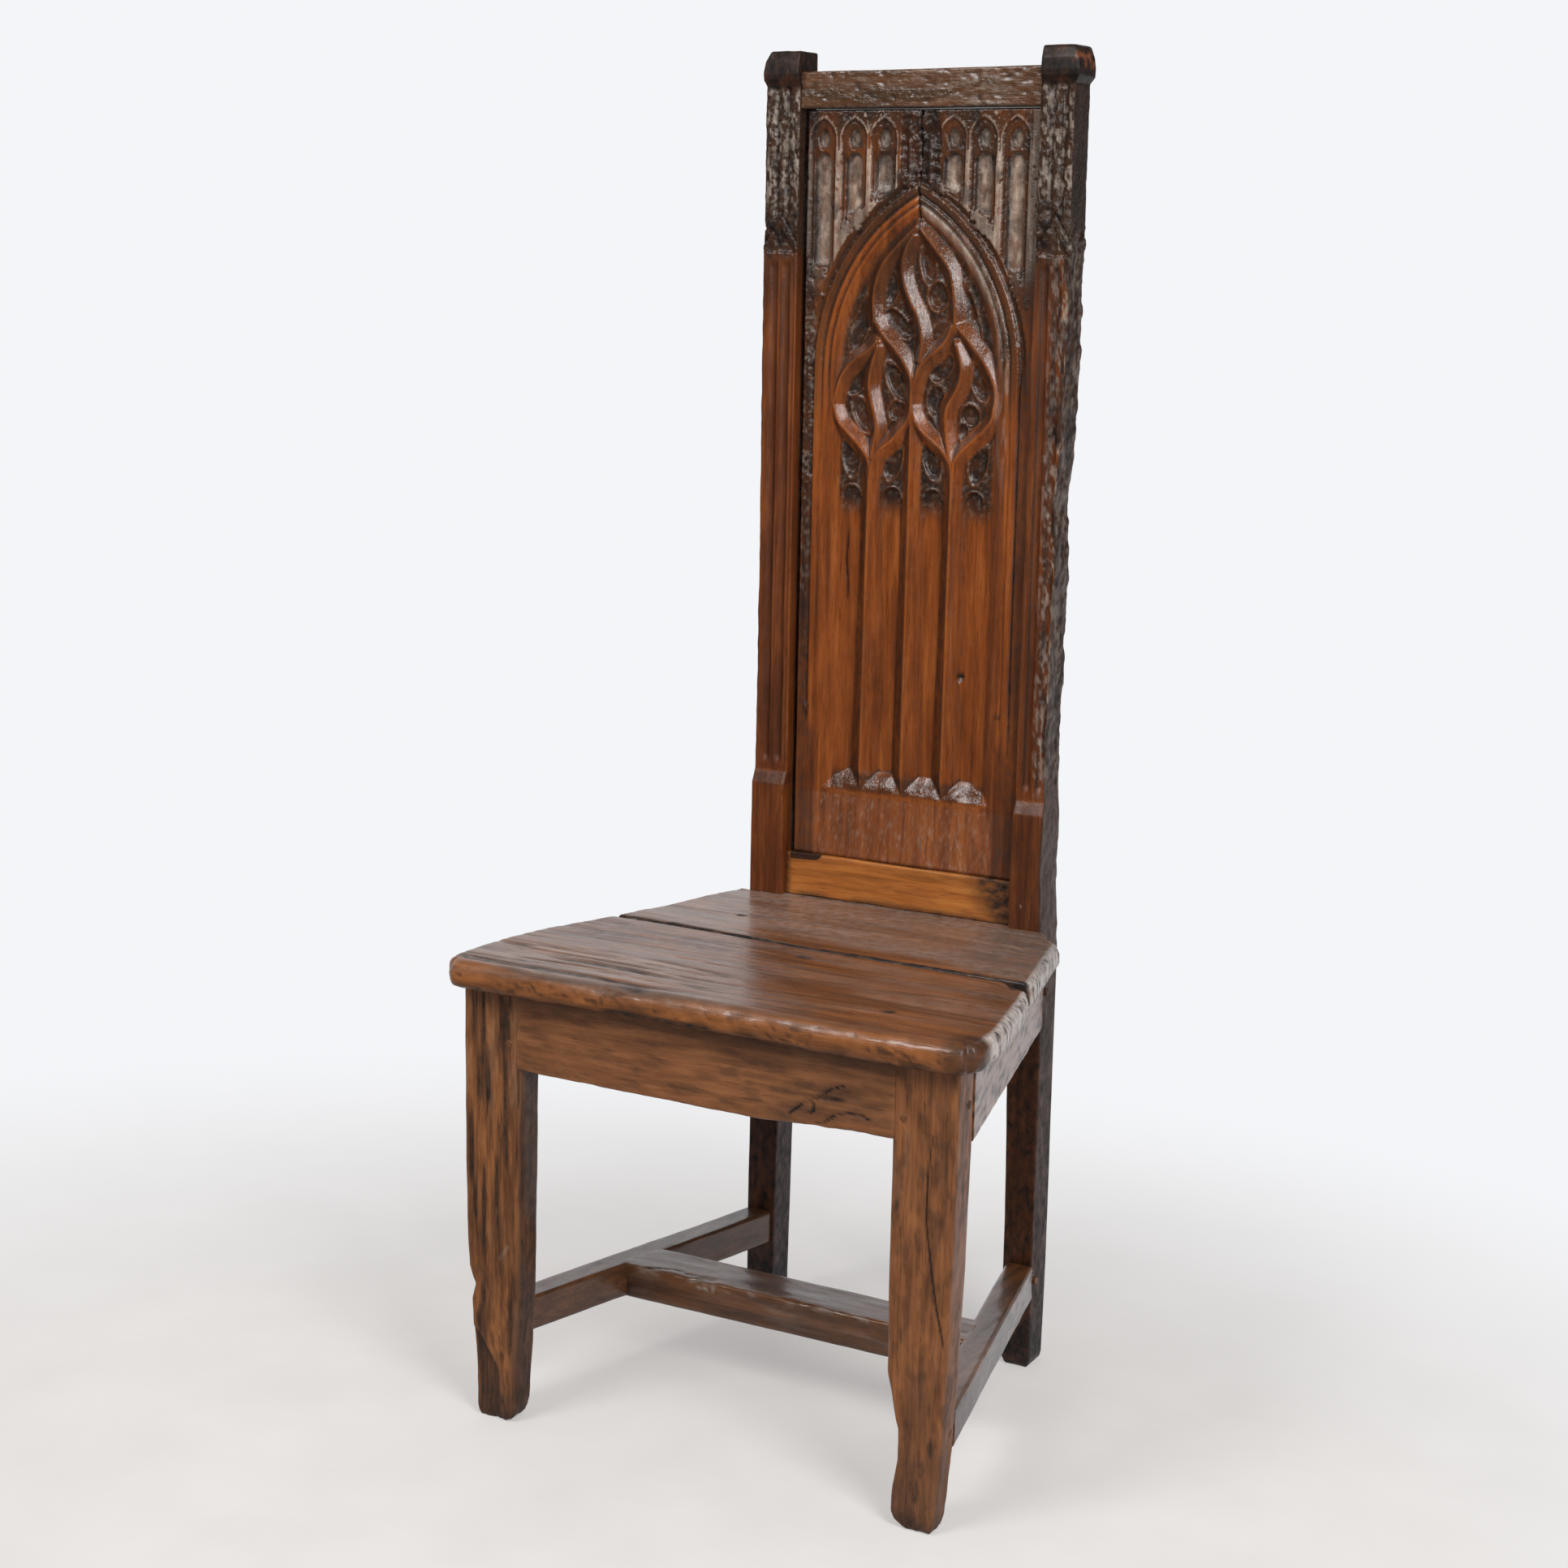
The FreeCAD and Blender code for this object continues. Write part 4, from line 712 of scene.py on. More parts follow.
@dataclass
class Aprons:
    """The four boards under the seat."""

    foot: float = 366.0
    top: float = 440.0
    thick: float = 22.0
    front: float = -202.5
    rear: float = 193.5
    front_half: float = 201.5
    rear_half: float = 133.0
    chipped_foot: Course = ((-202, 363), (-150, 362), (-90, 361), (-40, 361), (20, 360.5), (80, 361),
                            (120, 364), (160, 366), (202, 366))
    front_cracks: tuple[Course, ...] = (
        ((112, -203, 374), (120, -203, 378), (121, -203, 387), (135, -203, 399), (151, -203, 407)),
        ((122, -203, 367), (131, -203, 369), (143, -203, 378), (164, -203, 383), (176, -203, 380)),
        ((96, -203, 372), (108, -203, 382), (128, -203, 392), (150, -203, 392)),
    )
    soiled_run: Course = ((90, 376), (150, 398), (185, 386))

    def build(self, finish: bpy.types.Material) -> None:
        """Makes the front, rear and side boards.

        Args:
            finish: the oak of the frame.
        """
        front = Timber(Axis.ACROSS, (self.front, self.foot, -self.front_half),
                       (self.front + self.thick, self.top, self.front_half), (4.0, 2.2, 3.0), 3.0, 0.5,
                       seed=7, courses={"depth_low": self.chipped_foot})
        skin = front.skin()
        low_edge = np.exp(-np.abs(skin.points[:, 2] - self.foot) / 6)
        skin.roughen((40, 40, 140), 0.8, 51)
        skin.roughen((7, 7, 16), 1.6, 53, low_edge)
        skin.roughen((3, 3, 24), 0.3, 55)
        for course in self.front_cracks:
            skin.crack(course, 1.6, 2.0)
        # Painted shadow of the seat's nose along the top of the board.
        skin.mark("dirt_and_shade", 0.45 * ease(skin.points[:, 2], 415, 440))
        near_crack = 1 - ease(distance_to(self.soiled_run, skin.points[:, [0, 2]]), 4, 26)
        skin.mark("dirt_and_shade", 0.5 * near_crack * (0.6 + 0.6 * noise(skin.grain, (6, 6, 22), 57)))
        skin.mottle("dirt_and_shade", 0.4, (7, 7, 90), 59, 0.3, 0.8)
        skin.mottle("dirt_and_shade", 0.35, (7, 7, 26), 58, 0.15, 0.5)
        skin.mottle("wear_and_highlight", 0.5, (7, 7, 26), 58, -0.15, -0.5)
        skin.make("front_apron", "oak_frame", finish)

        rear = Timber(Axis.ACROSS, (self.rear, self.foot, -self.rear_half),
                      (self.rear + self.thick, self.top, self.rear_half), (4.0, 4.0, 7.0), 3.0, 0.5, seed=8)
        skin = rear.skin()
        skin.roughen((30, 30, 120), 0.8, 61)
        skin.make("rear_apron", "oak_frame", finish)

        for side, name in ((-1, "side_apron_left"), (1, "side_apron_right")):
            skin = splayed_bar(side, self.foot, self.top, self.thick, 9 + side, 3.0)
            skin.roughen((30, 30, 120), 0.8, 65 + side)
            skin.roughen((6, 6, 18), 0.7, 67 + side, np.exp(-np.abs(skin.points[:, 2] - self.foot) / 7))
            skin.mottle("dirt_and_shade", 0.8, (5, 5, 60), 69 + side, 0.0, 0.45)
            skin.make(name, "oak_frame", finish)


def splayed_bar(side: int, foot: float, top: float, thick: float, seed: int, soft: float,
                half_width: float = LEG_OUTER) -> Skin:
    """Makes a bar along one side of the chair, where the frame narrows towards the back.

    Args:
        side: -1 for the left side and 1 for the right.
        foot: the bar's underside.
        top: the bar's upper side.
        thick: its thickness across.
        seed: which grain it has.
        soft: the radius of its edges.
        half_width: how far its outer side is from the middle, at the front.

    Returns:
        The bar's skin.
    """
    slope = SPLAY - (LEG_OUTER - half_width) / SIDE_LENGTH
    ends = (LEG_BACK - 1.5, SIDE_END)
    outer = [(y, half_width - slope * (y - LEG_BACK)) for y in ends]
    inner = [(y, x - thick) for y, x in outer]
    low = [(y, x if side > 0 else -x) for y, x in (inner if side > 0 else outer)]
    high = [(y, x if side > 0 else -x) for y, x in (outer if side > 0 else inner)]
    bar = Timber(Axis.BACK, (foot, -thick / 2, ends[0]), (top, thick / 2, ends[1]), (3.0, 3.0, 5.0), soft,
                 0.5, seed=seed, courses={"depth_low": low, "depth_high": high})
    return bar.skin()


@dataclass
class Stretchers:
    """The low frame between the legs: a bar along each side and a broad one across."""

    foot: float = 76.0
    top: float = 112.0
    thick: float = 30.0
    side_half: float = 255.0
    cross_front: float = -22.5
    cross_back: float = 33.5
    cross_front_half: float = 197.0
    cross_back_half: float = 182.5
    top_crack: Course = ((-165, -21, 112), (-140, -12, 112), (-118, -14, 112), (-92, -18, 112))

    def build(self, finish: bpy.types.Material) -> None:
        """Makes the three bars.

        Args:
            finish: the oak of the frame.
        """
        for side, name in ((-1, "side_stretcher_left"), (1, "side_stretcher_right")):
            skin = splayed_bar(side, self.foot, self.top, self.thick, 13 + side, 3.5, self.side_half)
            self.age(skin, 71 + side)
            skin.make(name, "oak_frame", finish)
        cross = Timber(Axis.ACROSS, (self.cross_front, self.foot, -self.cross_front_half),
                       (self.cross_back, self.top, self.cross_front_half), (2.6, 2.6, 4.0), 3.5, 0.5, seed=17)
        skin = cross.skin()
        share = (skin.points[:, 1] - self.cross_front) / (self.cross_back - self.cross_front)
        skin.points[:, 0] *= 1 + share * (self.cross_back_half / self.cross_front_half - 1)
        self.age(skin, 77)
        top = skin.facing((0, -0.5, 0.86))
        x, y, z = skin.points.T
        chip = 1 - ease(np.hypot((x + 97) / 17, (z - 107) / 9), 0.5, 1.0)
        chip = chip * ease(-y, -self.cross_front - 14, -self.cross_front - 4)
        skin.push(-2.5 * chip * (1 + 0.5 * noise(skin.grain, 4, 79)))
        skin.mottle("grey_and_sheen", chip, (3, 3, 6), 79, -0.15, 0.2)
        lip = np.exp(-np.hypot(skin.points[:, 1] - self.cross_front, skin.points[:, 2] - self.top) / 5.5)
        skin.roughen((5, 5, 12), 1.2, 87, lip)
        skin.mark("wear_and_highlight", 1.3 * lip)
        skin.mottle("grey_and_sheen", 0.8 * lip, (3, 3, 16), 89, 0.15, 0.45)
        skin.crack(self.top_crack, 1.6, 1.5)
        # A grey painted sheen on the top.
        skin.mottle("grey_and_sheen", 0.5 * top, (9, 9, 80), 81, 0.0, 0.6)
        skin.make("cross_stretcher", "oak_frame", finish)

    def age(self, skin: Skin, seed: int) -> None:
        """Wears one bar with dents and dirt, and paints shade on its underside.

        Args:
            skin: the bar.
            seed: which dents and streaks.
        """
        skin.roughen((22, 22, 90), 0.8, seed)
        skin.roughen((6, 6, 20), 0.6, seed + 1, skin.marks["wear_and_highlight"])
        skin.mottle("dirt_and_shade", 0.5, (8, 8, 70), seed + 2, 0.15, 0.7)
        # Painted shade on the underside.
        skin.mark("dirt_and_shade", 0.55 * skin.facing((0, 0, -1)))


@dataclass
class Seat:
    """The seat: two boards with a rounded front and sides, and an open joint that runs aslant."""

    foot: float = 440.0
    top: float = 468.5
    nose: float = -227.5
    back: float = 219.5
    half: float = 285.0
    joint: float = 1.5
    joint_gap: float = 4.2
    corner: float = 28.0
    left_edge: Course = ((-228, -277), (-200, -276), (-161, -275), (-130, -272), (-77, -262), (-40, -250),
                         (25, -227), (116, -204), (183, -187), (220, -178))
    right_edge: Course = ((-228, 289), (-200, 288), (-160, 284), (-58, 260), (5, 240), (97, 216), (151, 202),
                          (183, 195), (220, 186))
    joint_course: Course = ((-240, 9), (-160, 9), (-110, 7), (-60, 4), (0, 0), (60, -2.5), (150, -3.5),
                            (260, -5))
    joint_narrowing: float = 0.85
    joint_reach: float = 60.0
    chipped_end: float = 18.0
    plinth_front: float = 182.8
    post_inner: float = 131.4
    broken_corner: Course = ((168, 0), (177, 10), (191, 29), (206, 34))
    knots: Course = ((173, -162, 7), (16, -36, 8), (-120, 80, 6))

    def fit(self, skin: Skin, is_front: bool) -> None:
        """Moves a straight board to the seat's plan: splayed sides and an aslant joint.

        Args:
            skin: the board, straight and square.
            is_front: whether it is the front board.
        """
        x, y, _ = skin.points.T
        if is_front:
            into = np.stack([self.corner - (self.half - np.abs(x)), self.corner - (y - self.nose)])
            into = np.clip(into, 0, None)
            share = into.max(0) / np.maximum(np.hypot(*into), 1e-9)
            near = into.min(0) > 0
            x = np.where(near, np.sign(x) * (self.half - self.corner + into[0] * share), x)
            y = np.where(near, self.nose + self.corner - into[1] * share, y)
            at = self.joint - self.joint_gap / 2
            slant = follow(self.joint_course, x * self.joint_narrowing) - self.joint
            y = y + ease(y, self.nose + self.joint_reach, at) * slant
            y = y - self.chipped_end * ease(x, 242, 278) * ease(y, -70, -15)
        else:
            at = self.joint + self.joint_gap / 2
            slant = follow(self.joint_course, x * self.joint_narrowing) - self.joint
            y = y + (1 - ease(y, at, self.back - self.joint_reach)) * slant
        left, right = follow(self.left_edge, y), follow(self.right_edge, y)
        x = left + (x + self.half) / (2 * self.half) * (right - left)
        if not is_front:
            broken = follow(self.broken_corner, x) * (0.7 + 0.3 * ease(skin.points[:, 2], 448, 464))
            cut = np.where(np.abs(x) > self.post_inner, np.minimum(y, self.plinth_front - broken), y)
            skin.grain[:, 0] += cut - y
            y = cut
        skin.points[:, 0] = x
        skin.points[:, 1] = y

    def build(self, finish: bpy.types.Material) -> None:
        """Makes both boards.

        Args:
            finish: the oak of the seat.
        """
        boards = (("seat_front_board", self.nose, self.joint - self.joint_gap / 2, True),
                  ("seat_rear_board", self.joint + self.joint_gap / 2, self.back, False))
        for name, start, end, is_front in boards:
            soft = ((9.0, 13.0), (1.5, 3.5)) if is_front else ((1.5, 3.5), (2.0, 2.0))
            board = Timber(Axis.ACROSS, (start, self.foot, -self.half), (end, self.top, self.half),
                           (1.9, 3.2, 3.4), soft, 11.0, seed=21 + is_front)
            skin = board.skin()
            self.fit(skin, is_front)
            self.weather(skin, 83 + 10 * is_front)
            skin.make(name, "oak_seat", finish)

    def weather(self, skin: Skin, seed: int) -> None:
        """Hollows, furrows and polishes one board.

        Args:
            skin: the board.
            seed: which furrows.
        """
        x, y, _ = skin.points.T
        top = skin.facing((0, 0, 1))
        rim = 1 - top
        # Broad hollows, and a rim that is uneven in front and knocked about on the left.
        skin.roughen((60, 60, 160), 1.0, seed)
        skin.roughen((10, 10, 32), 1.6, seed + 1, rim * ease(-y, 150, 215))
        skin.roughen((5, 5, 17), 0.7, seed + 16, rim * ease(-y, 185, 215))
        skin.roughen((14, 14, 14), 3.0, seed + 4, rim * ease(-x, 150, 230) * (y > -190))
        # Dark pits along the nose.
        pits = layered(skin.grain, (4, 4, 9), seed + 9)
        nose = rim * ease(-y, 195, 222)
        skin.push(-1.0 * nose * ease(pits, 0.1, 0.5))
        skin.mark("dirt_and_shade", 0.7 * nose * ease(pits, 0.2, 0.5))
        # Furrows along a wandering grain, deepest at the front left.
        grain = skin.grain.copy()
        grain[:, 0] += 5 * noise(skin.grain, (60, 60, 120), seed + 2)
        zone = ease(-y, 70, 150) * ease(40 - x, 0, 120)
        furrow = layered(grain, (4.5, 30, 120), seed + 3)
        skin.push(-top * (0.3 + 0.6 * zone) * ease(furrow, 0.0, 0.6))
        skin.mark("dirt_and_shade", 0.6 * top * ease(furrow, 0.25, 0.6) * (0.2 + 0.8 * zone))
        # Thin wavy shakes.
        wave = np.abs(noise(grain, (12, 60, 190), seed + 11))
        shakes = (1 - ease(wave, 0.03, 0.17)) * top * ease(noise(grain, (40, 60, 130), seed + 12), -0.4, 0.2)
        skin.push(-1.0 * shakes * (0.3 + zone))
        skin.mark("dirt_and_shade", shakes * (0.25 + 0.5 * zone))
        for kx, ky, size in self.knots:
            reach = np.hypot((x - kx) / 1.6, y - ky)
            skin.push(-1.2 * (1 - ease(reach, 0.2 * size, 0.6 * size)) * top)
            skin.mark("dirt_and_shade", top * 0.85 * (1 - ease(reach, 0.3 * size, size)))
        # Grey streaks at the front left that paint a reflection, grey clouds that grow into a painted sheen
        # towards the back, and pale grey bare ends with a painted sheen on the top's edge above them.
        skin.mark("grey_and_sheen", 0.3 * top * zone * ease(layered(grain, (7, 7, 90), seed + 5), -0.3, 0.4))
        behind = ease(y, -30, 60)
        clouds = ease(layered(grain, (30, 30, 160), seed + 6), -0.3 - behind, 0.4)
        skin.mark("grey_and_sheen", (0.12 + 0.16 * behind) * top * clouds)
        corner = 1 - ease(y, -200, -182)
        ends = ease(skin.facing((0.94, 0.2, 0.28)), 0.3, 0.8) * (1 - corner)
        skin.mark("grey_and_sheen", ends)
        skin.mark("dirt_and_shade", 0.65 * corner * ease(x, 244, 270))
        skin.mark("dirt_and_shade", 0.42 * top * ease(x, 90, 180) * ease(y, 10, 60)
                  * ease(layered(grain, (30, 30, 110), seed + 17), -0.8, 0.1))
        skin.roughen((2.5, 9, 2.5), 0.8, seed + 7, ends)
        skin.mottle("dirt_and_shade", 0.85 * ends, (3.5, 14, 3.5), seed + 13, 0.1, 0.45)
        # Painted shade on the underside.
        skin.mark("dirt_and_shade", 0.5 * skin.facing((0, 0, -1)))
        # A rubbed nose with dirt under it.
        skin.mark("wear_and_highlight", rim * ease(-y, 190, 224) * (0.7 + 0.6 * noise(grain, (9, 9, 40), seed + 8)))
        skin.mark("dirt_and_shade", 0.8 * rim * ease(-y, 205, 224) * ease(452 - skin.points[:, 2], 0, 7)
                  * ease(noise(grain, (6, 6, 24), seed + 14), -0.4, 0.4))
        # Dirt on both sides of the joint, and more at its chipped end.
        course = follow(self.joint_course, x)
        away = np.abs(course - y) + 1.5 * noise(grain, (9, 9, 24), seed + 15)
        away = away - (self.chipped_end + 2) * ease(x, 212, 236) * (y < course)
        skin.mark("dirt_and_shade", 0.97 * (1 - ease(away, 3.5, 7.5)))


@dataclass
class BackPosts:
    """The two tall posts: plain legs, a plinth, fluted shafts, and a carved pinnacle under each cap."""

    inner: float = 131.5
    outer: float = 170.5
    front: float = 189.5
    back: float = 227.5
    top: float = 1333.0
    drip_foot: float = 1299.0
    flute_foot: float = 616.0
    flute_top: float = 1128.0
    gablet_foot: float = 1137.0
    gablet_top: float = 1178.0
    rings: Course = ((1269, 3.0, 1.0), (1261, 2.2, 0.8))
    runs: Course = ((0, 8, 2.0), (8, 436, 9.0), (436, 444, 2.0), (444, 580, 5.0), (580, 626, 1.5),
                    (626, 1120, 2.5), (1120, 1333, 1.25))
    flutes: Course = ((0.30, 4.4, 3.4), (0.66, 4.4, 3.4), (0.09, 1.6, 1.0), (0.48, 1.2, 0.7))
    pinnacle: Course = ((0, 2.2), (0.08, 0.6), (0.17, 0.4), (0.25, 1.4), (0.31, 4.2), (0.36, 4.2),
                        (0.41, 1.2), (0.49, 0.2), (0.57, 1.2), (0.62, 4.2), (0.68, 4.2), (0.74, 1.4),
                        (0.84, 0.4), (0.93, 0.6), (1, 2.2))
    worn_edge: Course = ((0, 166), (8, 168), (107, 169), (440, 168), (534, 164), (577, 165), (618, 162),
                         (668, 161), (726, 163), (783, 162), (832, 165), (896, 161), (960, 166), (1031, 168),
                         (1148, 168), (1225, 167), (1298, 167), (1304, 172), (1312, 172.5), (1322, 171),
                         (1333, 166.5))
    left_edge: Course = ((0, -166), (8, -169), (440, -170), (600, -170), (700, -169), (900, -170),
                         (1298, -170), (1304, -172), (1312, -172.5), (1322, -171), (1333, -166.5))
    inner_edge: Course = ((0, 141), (8, 138), (60, 137), (160, 136), (308, 133), (440, 131.5), (1333, 131.5))
    front_edge: Course = ((0, 193), (10, 190), (440, 189.5), (441, 183), (586, 183), (600, 189.5),
                          (1298, 189.5), (1304, 186), (1310, 185.5), (1322, 187), (1333, 191))

    def rows(self) -> Array:
        """Sets out the heights of the net: closer where the post is carved."""
        heights = [np.arange(start, end, step) for start, end, step in self.runs]
        return np.concatenate([*heights, [self.top]])

    def carving(self, share: Array, height: Array) -> Array:
        """Works out how deep the front is cut.

        Args:
            share: place across the post, 0 at its inner side and 1 at its outer side.
            height: place up the post.

        Returns:
            Depths behind the post's face.
        """
        width = self.outer - self.inner
        depth = np.zeros(len(share))
        flutes = ease(height, self.flute_foot - 10, self.flute_foot + 2)
        flutes = flutes * (1 - ease(height, self.flute_top - 8, self.flute_top))
        for middle, radius, cut in self.flutes:
            hollow = np.clip(1 - ((share - middle) * width / radius) ** 2, 0, None)
            depth = np.maximum(depth, flutes * cut * np.sqrt(hollow))
        pinnacle = ease(height, self.gablet_top - 14, self.gablet_top + 4)
        pinnacle = pinnacle * (1 - ease(height, self.drip_foot - 5, self.drip_foot))
        ring = sum(much * np.exp(-((height - level) / thick) ** 2) for level, thick, much in self.rings)
        shape = follow(self.pinnacle, share) - 2.0 * ring * (1 - ease(np.abs(share - 0.49), 0.12, 0.2))
        depth = np.where(pinnacle > 0, np.maximum(depth * (1 - pinnacle), shape * pinnacle), depth)
        rise = self.gablet_top - 4 - np.abs(share - 0.5) * 2 * (self.gablet_top - 8 - self.gablet_foot)
        over = height - rise
        band = np.exp(-((over + 3.5) / 2.2) ** 2) + 0.9 * np.exp(-((over + 9.5) / 2.0) ** 2)
        in_gablet = ease(height, self.gablet_foot - 4, self.gablet_foot) * (1 - ease(over, 0, 3))
        depth = depth * (1 - in_gablet) + in_gablet * (1.8 - 3.6 * band)
        groove = np.exp(-((over - 2.0) / 1.6) ** 2) * ease(height, self.gablet_foot - 6, self.gablet_foot + 4)
        depth = np.maximum(depth, 3.0 * groove * (over > 0))
        drip = np.exp(-((height - self.drip_foot - 2.5) / 1.6) ** 2)
        return depth + 0.8 * drip

    def build(self, finish: bpy.types.Material) -> None:
        """Makes both posts.

        Args:
            finish: the oak of the posts.
        """
        mirrored = tuple((z, -x) for z, x in self.inner_edge)
        for side, name in ((-1, "back_post_left"), (1, "back_post_right")):
            low, high = (self.left_edge, mirrored) if side < 0 else (self.inner_edge, self.worn_edge)
            ends = sorted((side * self.inner, side * self.outer))
            courses = {"breadth_low": low, "breadth_high": high, "depth_low": self.front_edge}
            post = Timber(Axis.UP, (ends[0], self.front, 0.0), (ends[1], self.back, self.top),
                          (1.15, 3.6, 5.0), 2.2, 2.0, seed=33 + side, courses=courses, rows=self.rows())
            skin = post.skin()
            self.carve(skin, side)
            skin.make(name, "oak_carved", finish)

    def carve(self, skin: Skin, side: int) -> None:
        """Carves and ages one post.

        Args:
            skin: the post.
            side: -1 for the left post and 1 for the right one.
        """
        x, _, z = skin.points.T
        share = np.clip((np.abs(x) - self.inner) / (self.outer - self.inner), 0, 1)
        front = ease(skin.facing((0, -1, 0)), 0.3, 0.75)
        depth = self.carving(share, z) * front
        skin.points[:, 1] += depth
        # Painted shade in the flutes and other cuts, darker where they are deeper.
        skin.mark("dirt_and_shade", ease(depth, 1.4, 4.4) * 0.4)
        # Crockets, gablet and pinnacle: pitted, dark with age and speckled with painted glints.
        wild = ease(z, 1172, 1190) * (1 - ease(z, 1294, 1299))
        crockets = np.exp(-((z - 1152) / 15) ** 2) * ease(np.abs(share - 0.5), 0.25, 0.5)
        skin.roughen((5, 5, 6), 3.4, 91 + side, crockets * ease(skin.facing((side, -1, 0)) + front, 0.2, 0.8))
        gablet = ease(z, 1120, 1140) * (1 - ease(z, 1180, 1192)) * front
        skin.roughen((5, 5, 7), 1.6, 93 + side, gablet)
        skin.mottle("dirt_and_shade", 0.75 * gablet, (5, 5, 9), 94 + side, -0.05, 0.4)
        skin.roughen((5, 5, 8), 1.0, 95 + side, wild * (0.4 + 0.6 * front))
        skin.roughen((2.6, 2.6, 4), 0.8, 97 + side, wild * front)
        skin.mark("age", wild)
        smoked = 0.45 * ease(z, 1030, 1120) + 0.55 * ease(z, 1125, 1145)
        skin.mark("age", smoked * (1 - 0.6 * ease(z, 1294, 1300)))
        skin.mottle("dirt_and_shade", 0.5 * wild, (6, 6, 12), 99 + side, 0.0, 0.6)
        skin.mottle("grey_and_sheen", 0.75 * wild * front, (2.6, 2.6, 7), 100 + side, 0.0, 0.4)
        skin.mark("dirt_and_shade", ease(z, 1292, 1298) * (0.9 + 0.1 * noise(skin.grain, 9, 101)))
        skin.roughen((24, 24, 70), 0.7, 103 + side)
        # The outer part of the right shaft has crumbled, that of the left one only a little.
        rough = ease(share, 0.3, 0.7) if side > 0 else 0.25 * ease(share, 0.6, 0.9)
        rough = rough * ease(z, 590, 640) * (1 - ease(z, 1120, 1180))
        skin.roughen((4, 4, 13), 1.9, 105 + side, rough)
        skin.mottle("dirt_and_shade", 0.8 * rough, (5, 5, 30), 107 + side, -0.3, 0.3)
        # Painted glints speckle the crumbled part of the right shaft.
        skin.mottle("grey_and_sheen", 0.85 * rough * (side > 0), (2.6, 2.6, 7), 108 + side, -0.05, 0.35)
        skin.mottle("dirt_and_shade", 0.35, (6, 6, 160), 109 + side, 0.2, 0.7)
        # Painted shade darkens the post below the seat, and it is darker still at the foot.
        skin.mark("dirt_and_shade", 0.5 * (1 - ease(z, 0, 70)) + 0.8 * (1 - ease(z, 436, 446)))
        # Below the seat the post is rubbed, and its outer side is dull.
        leg = 1 - ease(z, 420, 440)
        outer_side = skin.facing((side, 0, 0))
        for name, amount in (("age", 0.7), ("dirt_and_shade", 0.5)):
            skin.mark(name, amount * outer_side * (1 - 0.65 * leg))
        skin.mottle("wear_and_highlight", leg * (1 - 0.5 * outer_side), (7, 7, 60), 110 + side, -0.4, 0.3)
        # A pale line along the plinth's top chamfer, and painted shade that darkens the chamfer.
        skin.mark("wear_and_highlight", 0.6 * np.exp(-((z - 599) / 2.2) ** 2) * front)
        skin.mark("dirt_and_shade", 0.35 * ease(z, 583, 588) * (1 - ease(z, 597, 601)))
        if side > 0:
            # A dirty plinth with a rubbed arris, and a cap that is bare at its corner.
            plinth = ease(z, 440, 446) * (1 - ease(z, 575, 600))
            skin.mark("dirt_and_shade", 0.38 * plinth * front)
            arris = plinth * ease(share, 0.72, 0.95)
            skin.roughen((4, 4, 13), 1.4, 106, arris)
            skin.mottle("wear_and_highlight", 0.9 * arris, (4, 4, 18), 104, -0.2, 0.3)
            corner = 1 - ease(np.hypot((x - 173) / 11, (z - 1320) / 13), 0.3, 1.0)
            corner = corner * ease(layered(skin.grain, (4, 4, 12), 102), -0.35, 0.25)
            for name in ("dirt_and_shade", "age"):
                skin.marks[name] = skin.marks[name] * (1 - corner)
            scuff = np.exp(-((x - 160) / 4) ** 2 - ((z - 1120) / 22) ** 2)
            skin.mark("wear_and_highlight", np.maximum(scuff, corner))


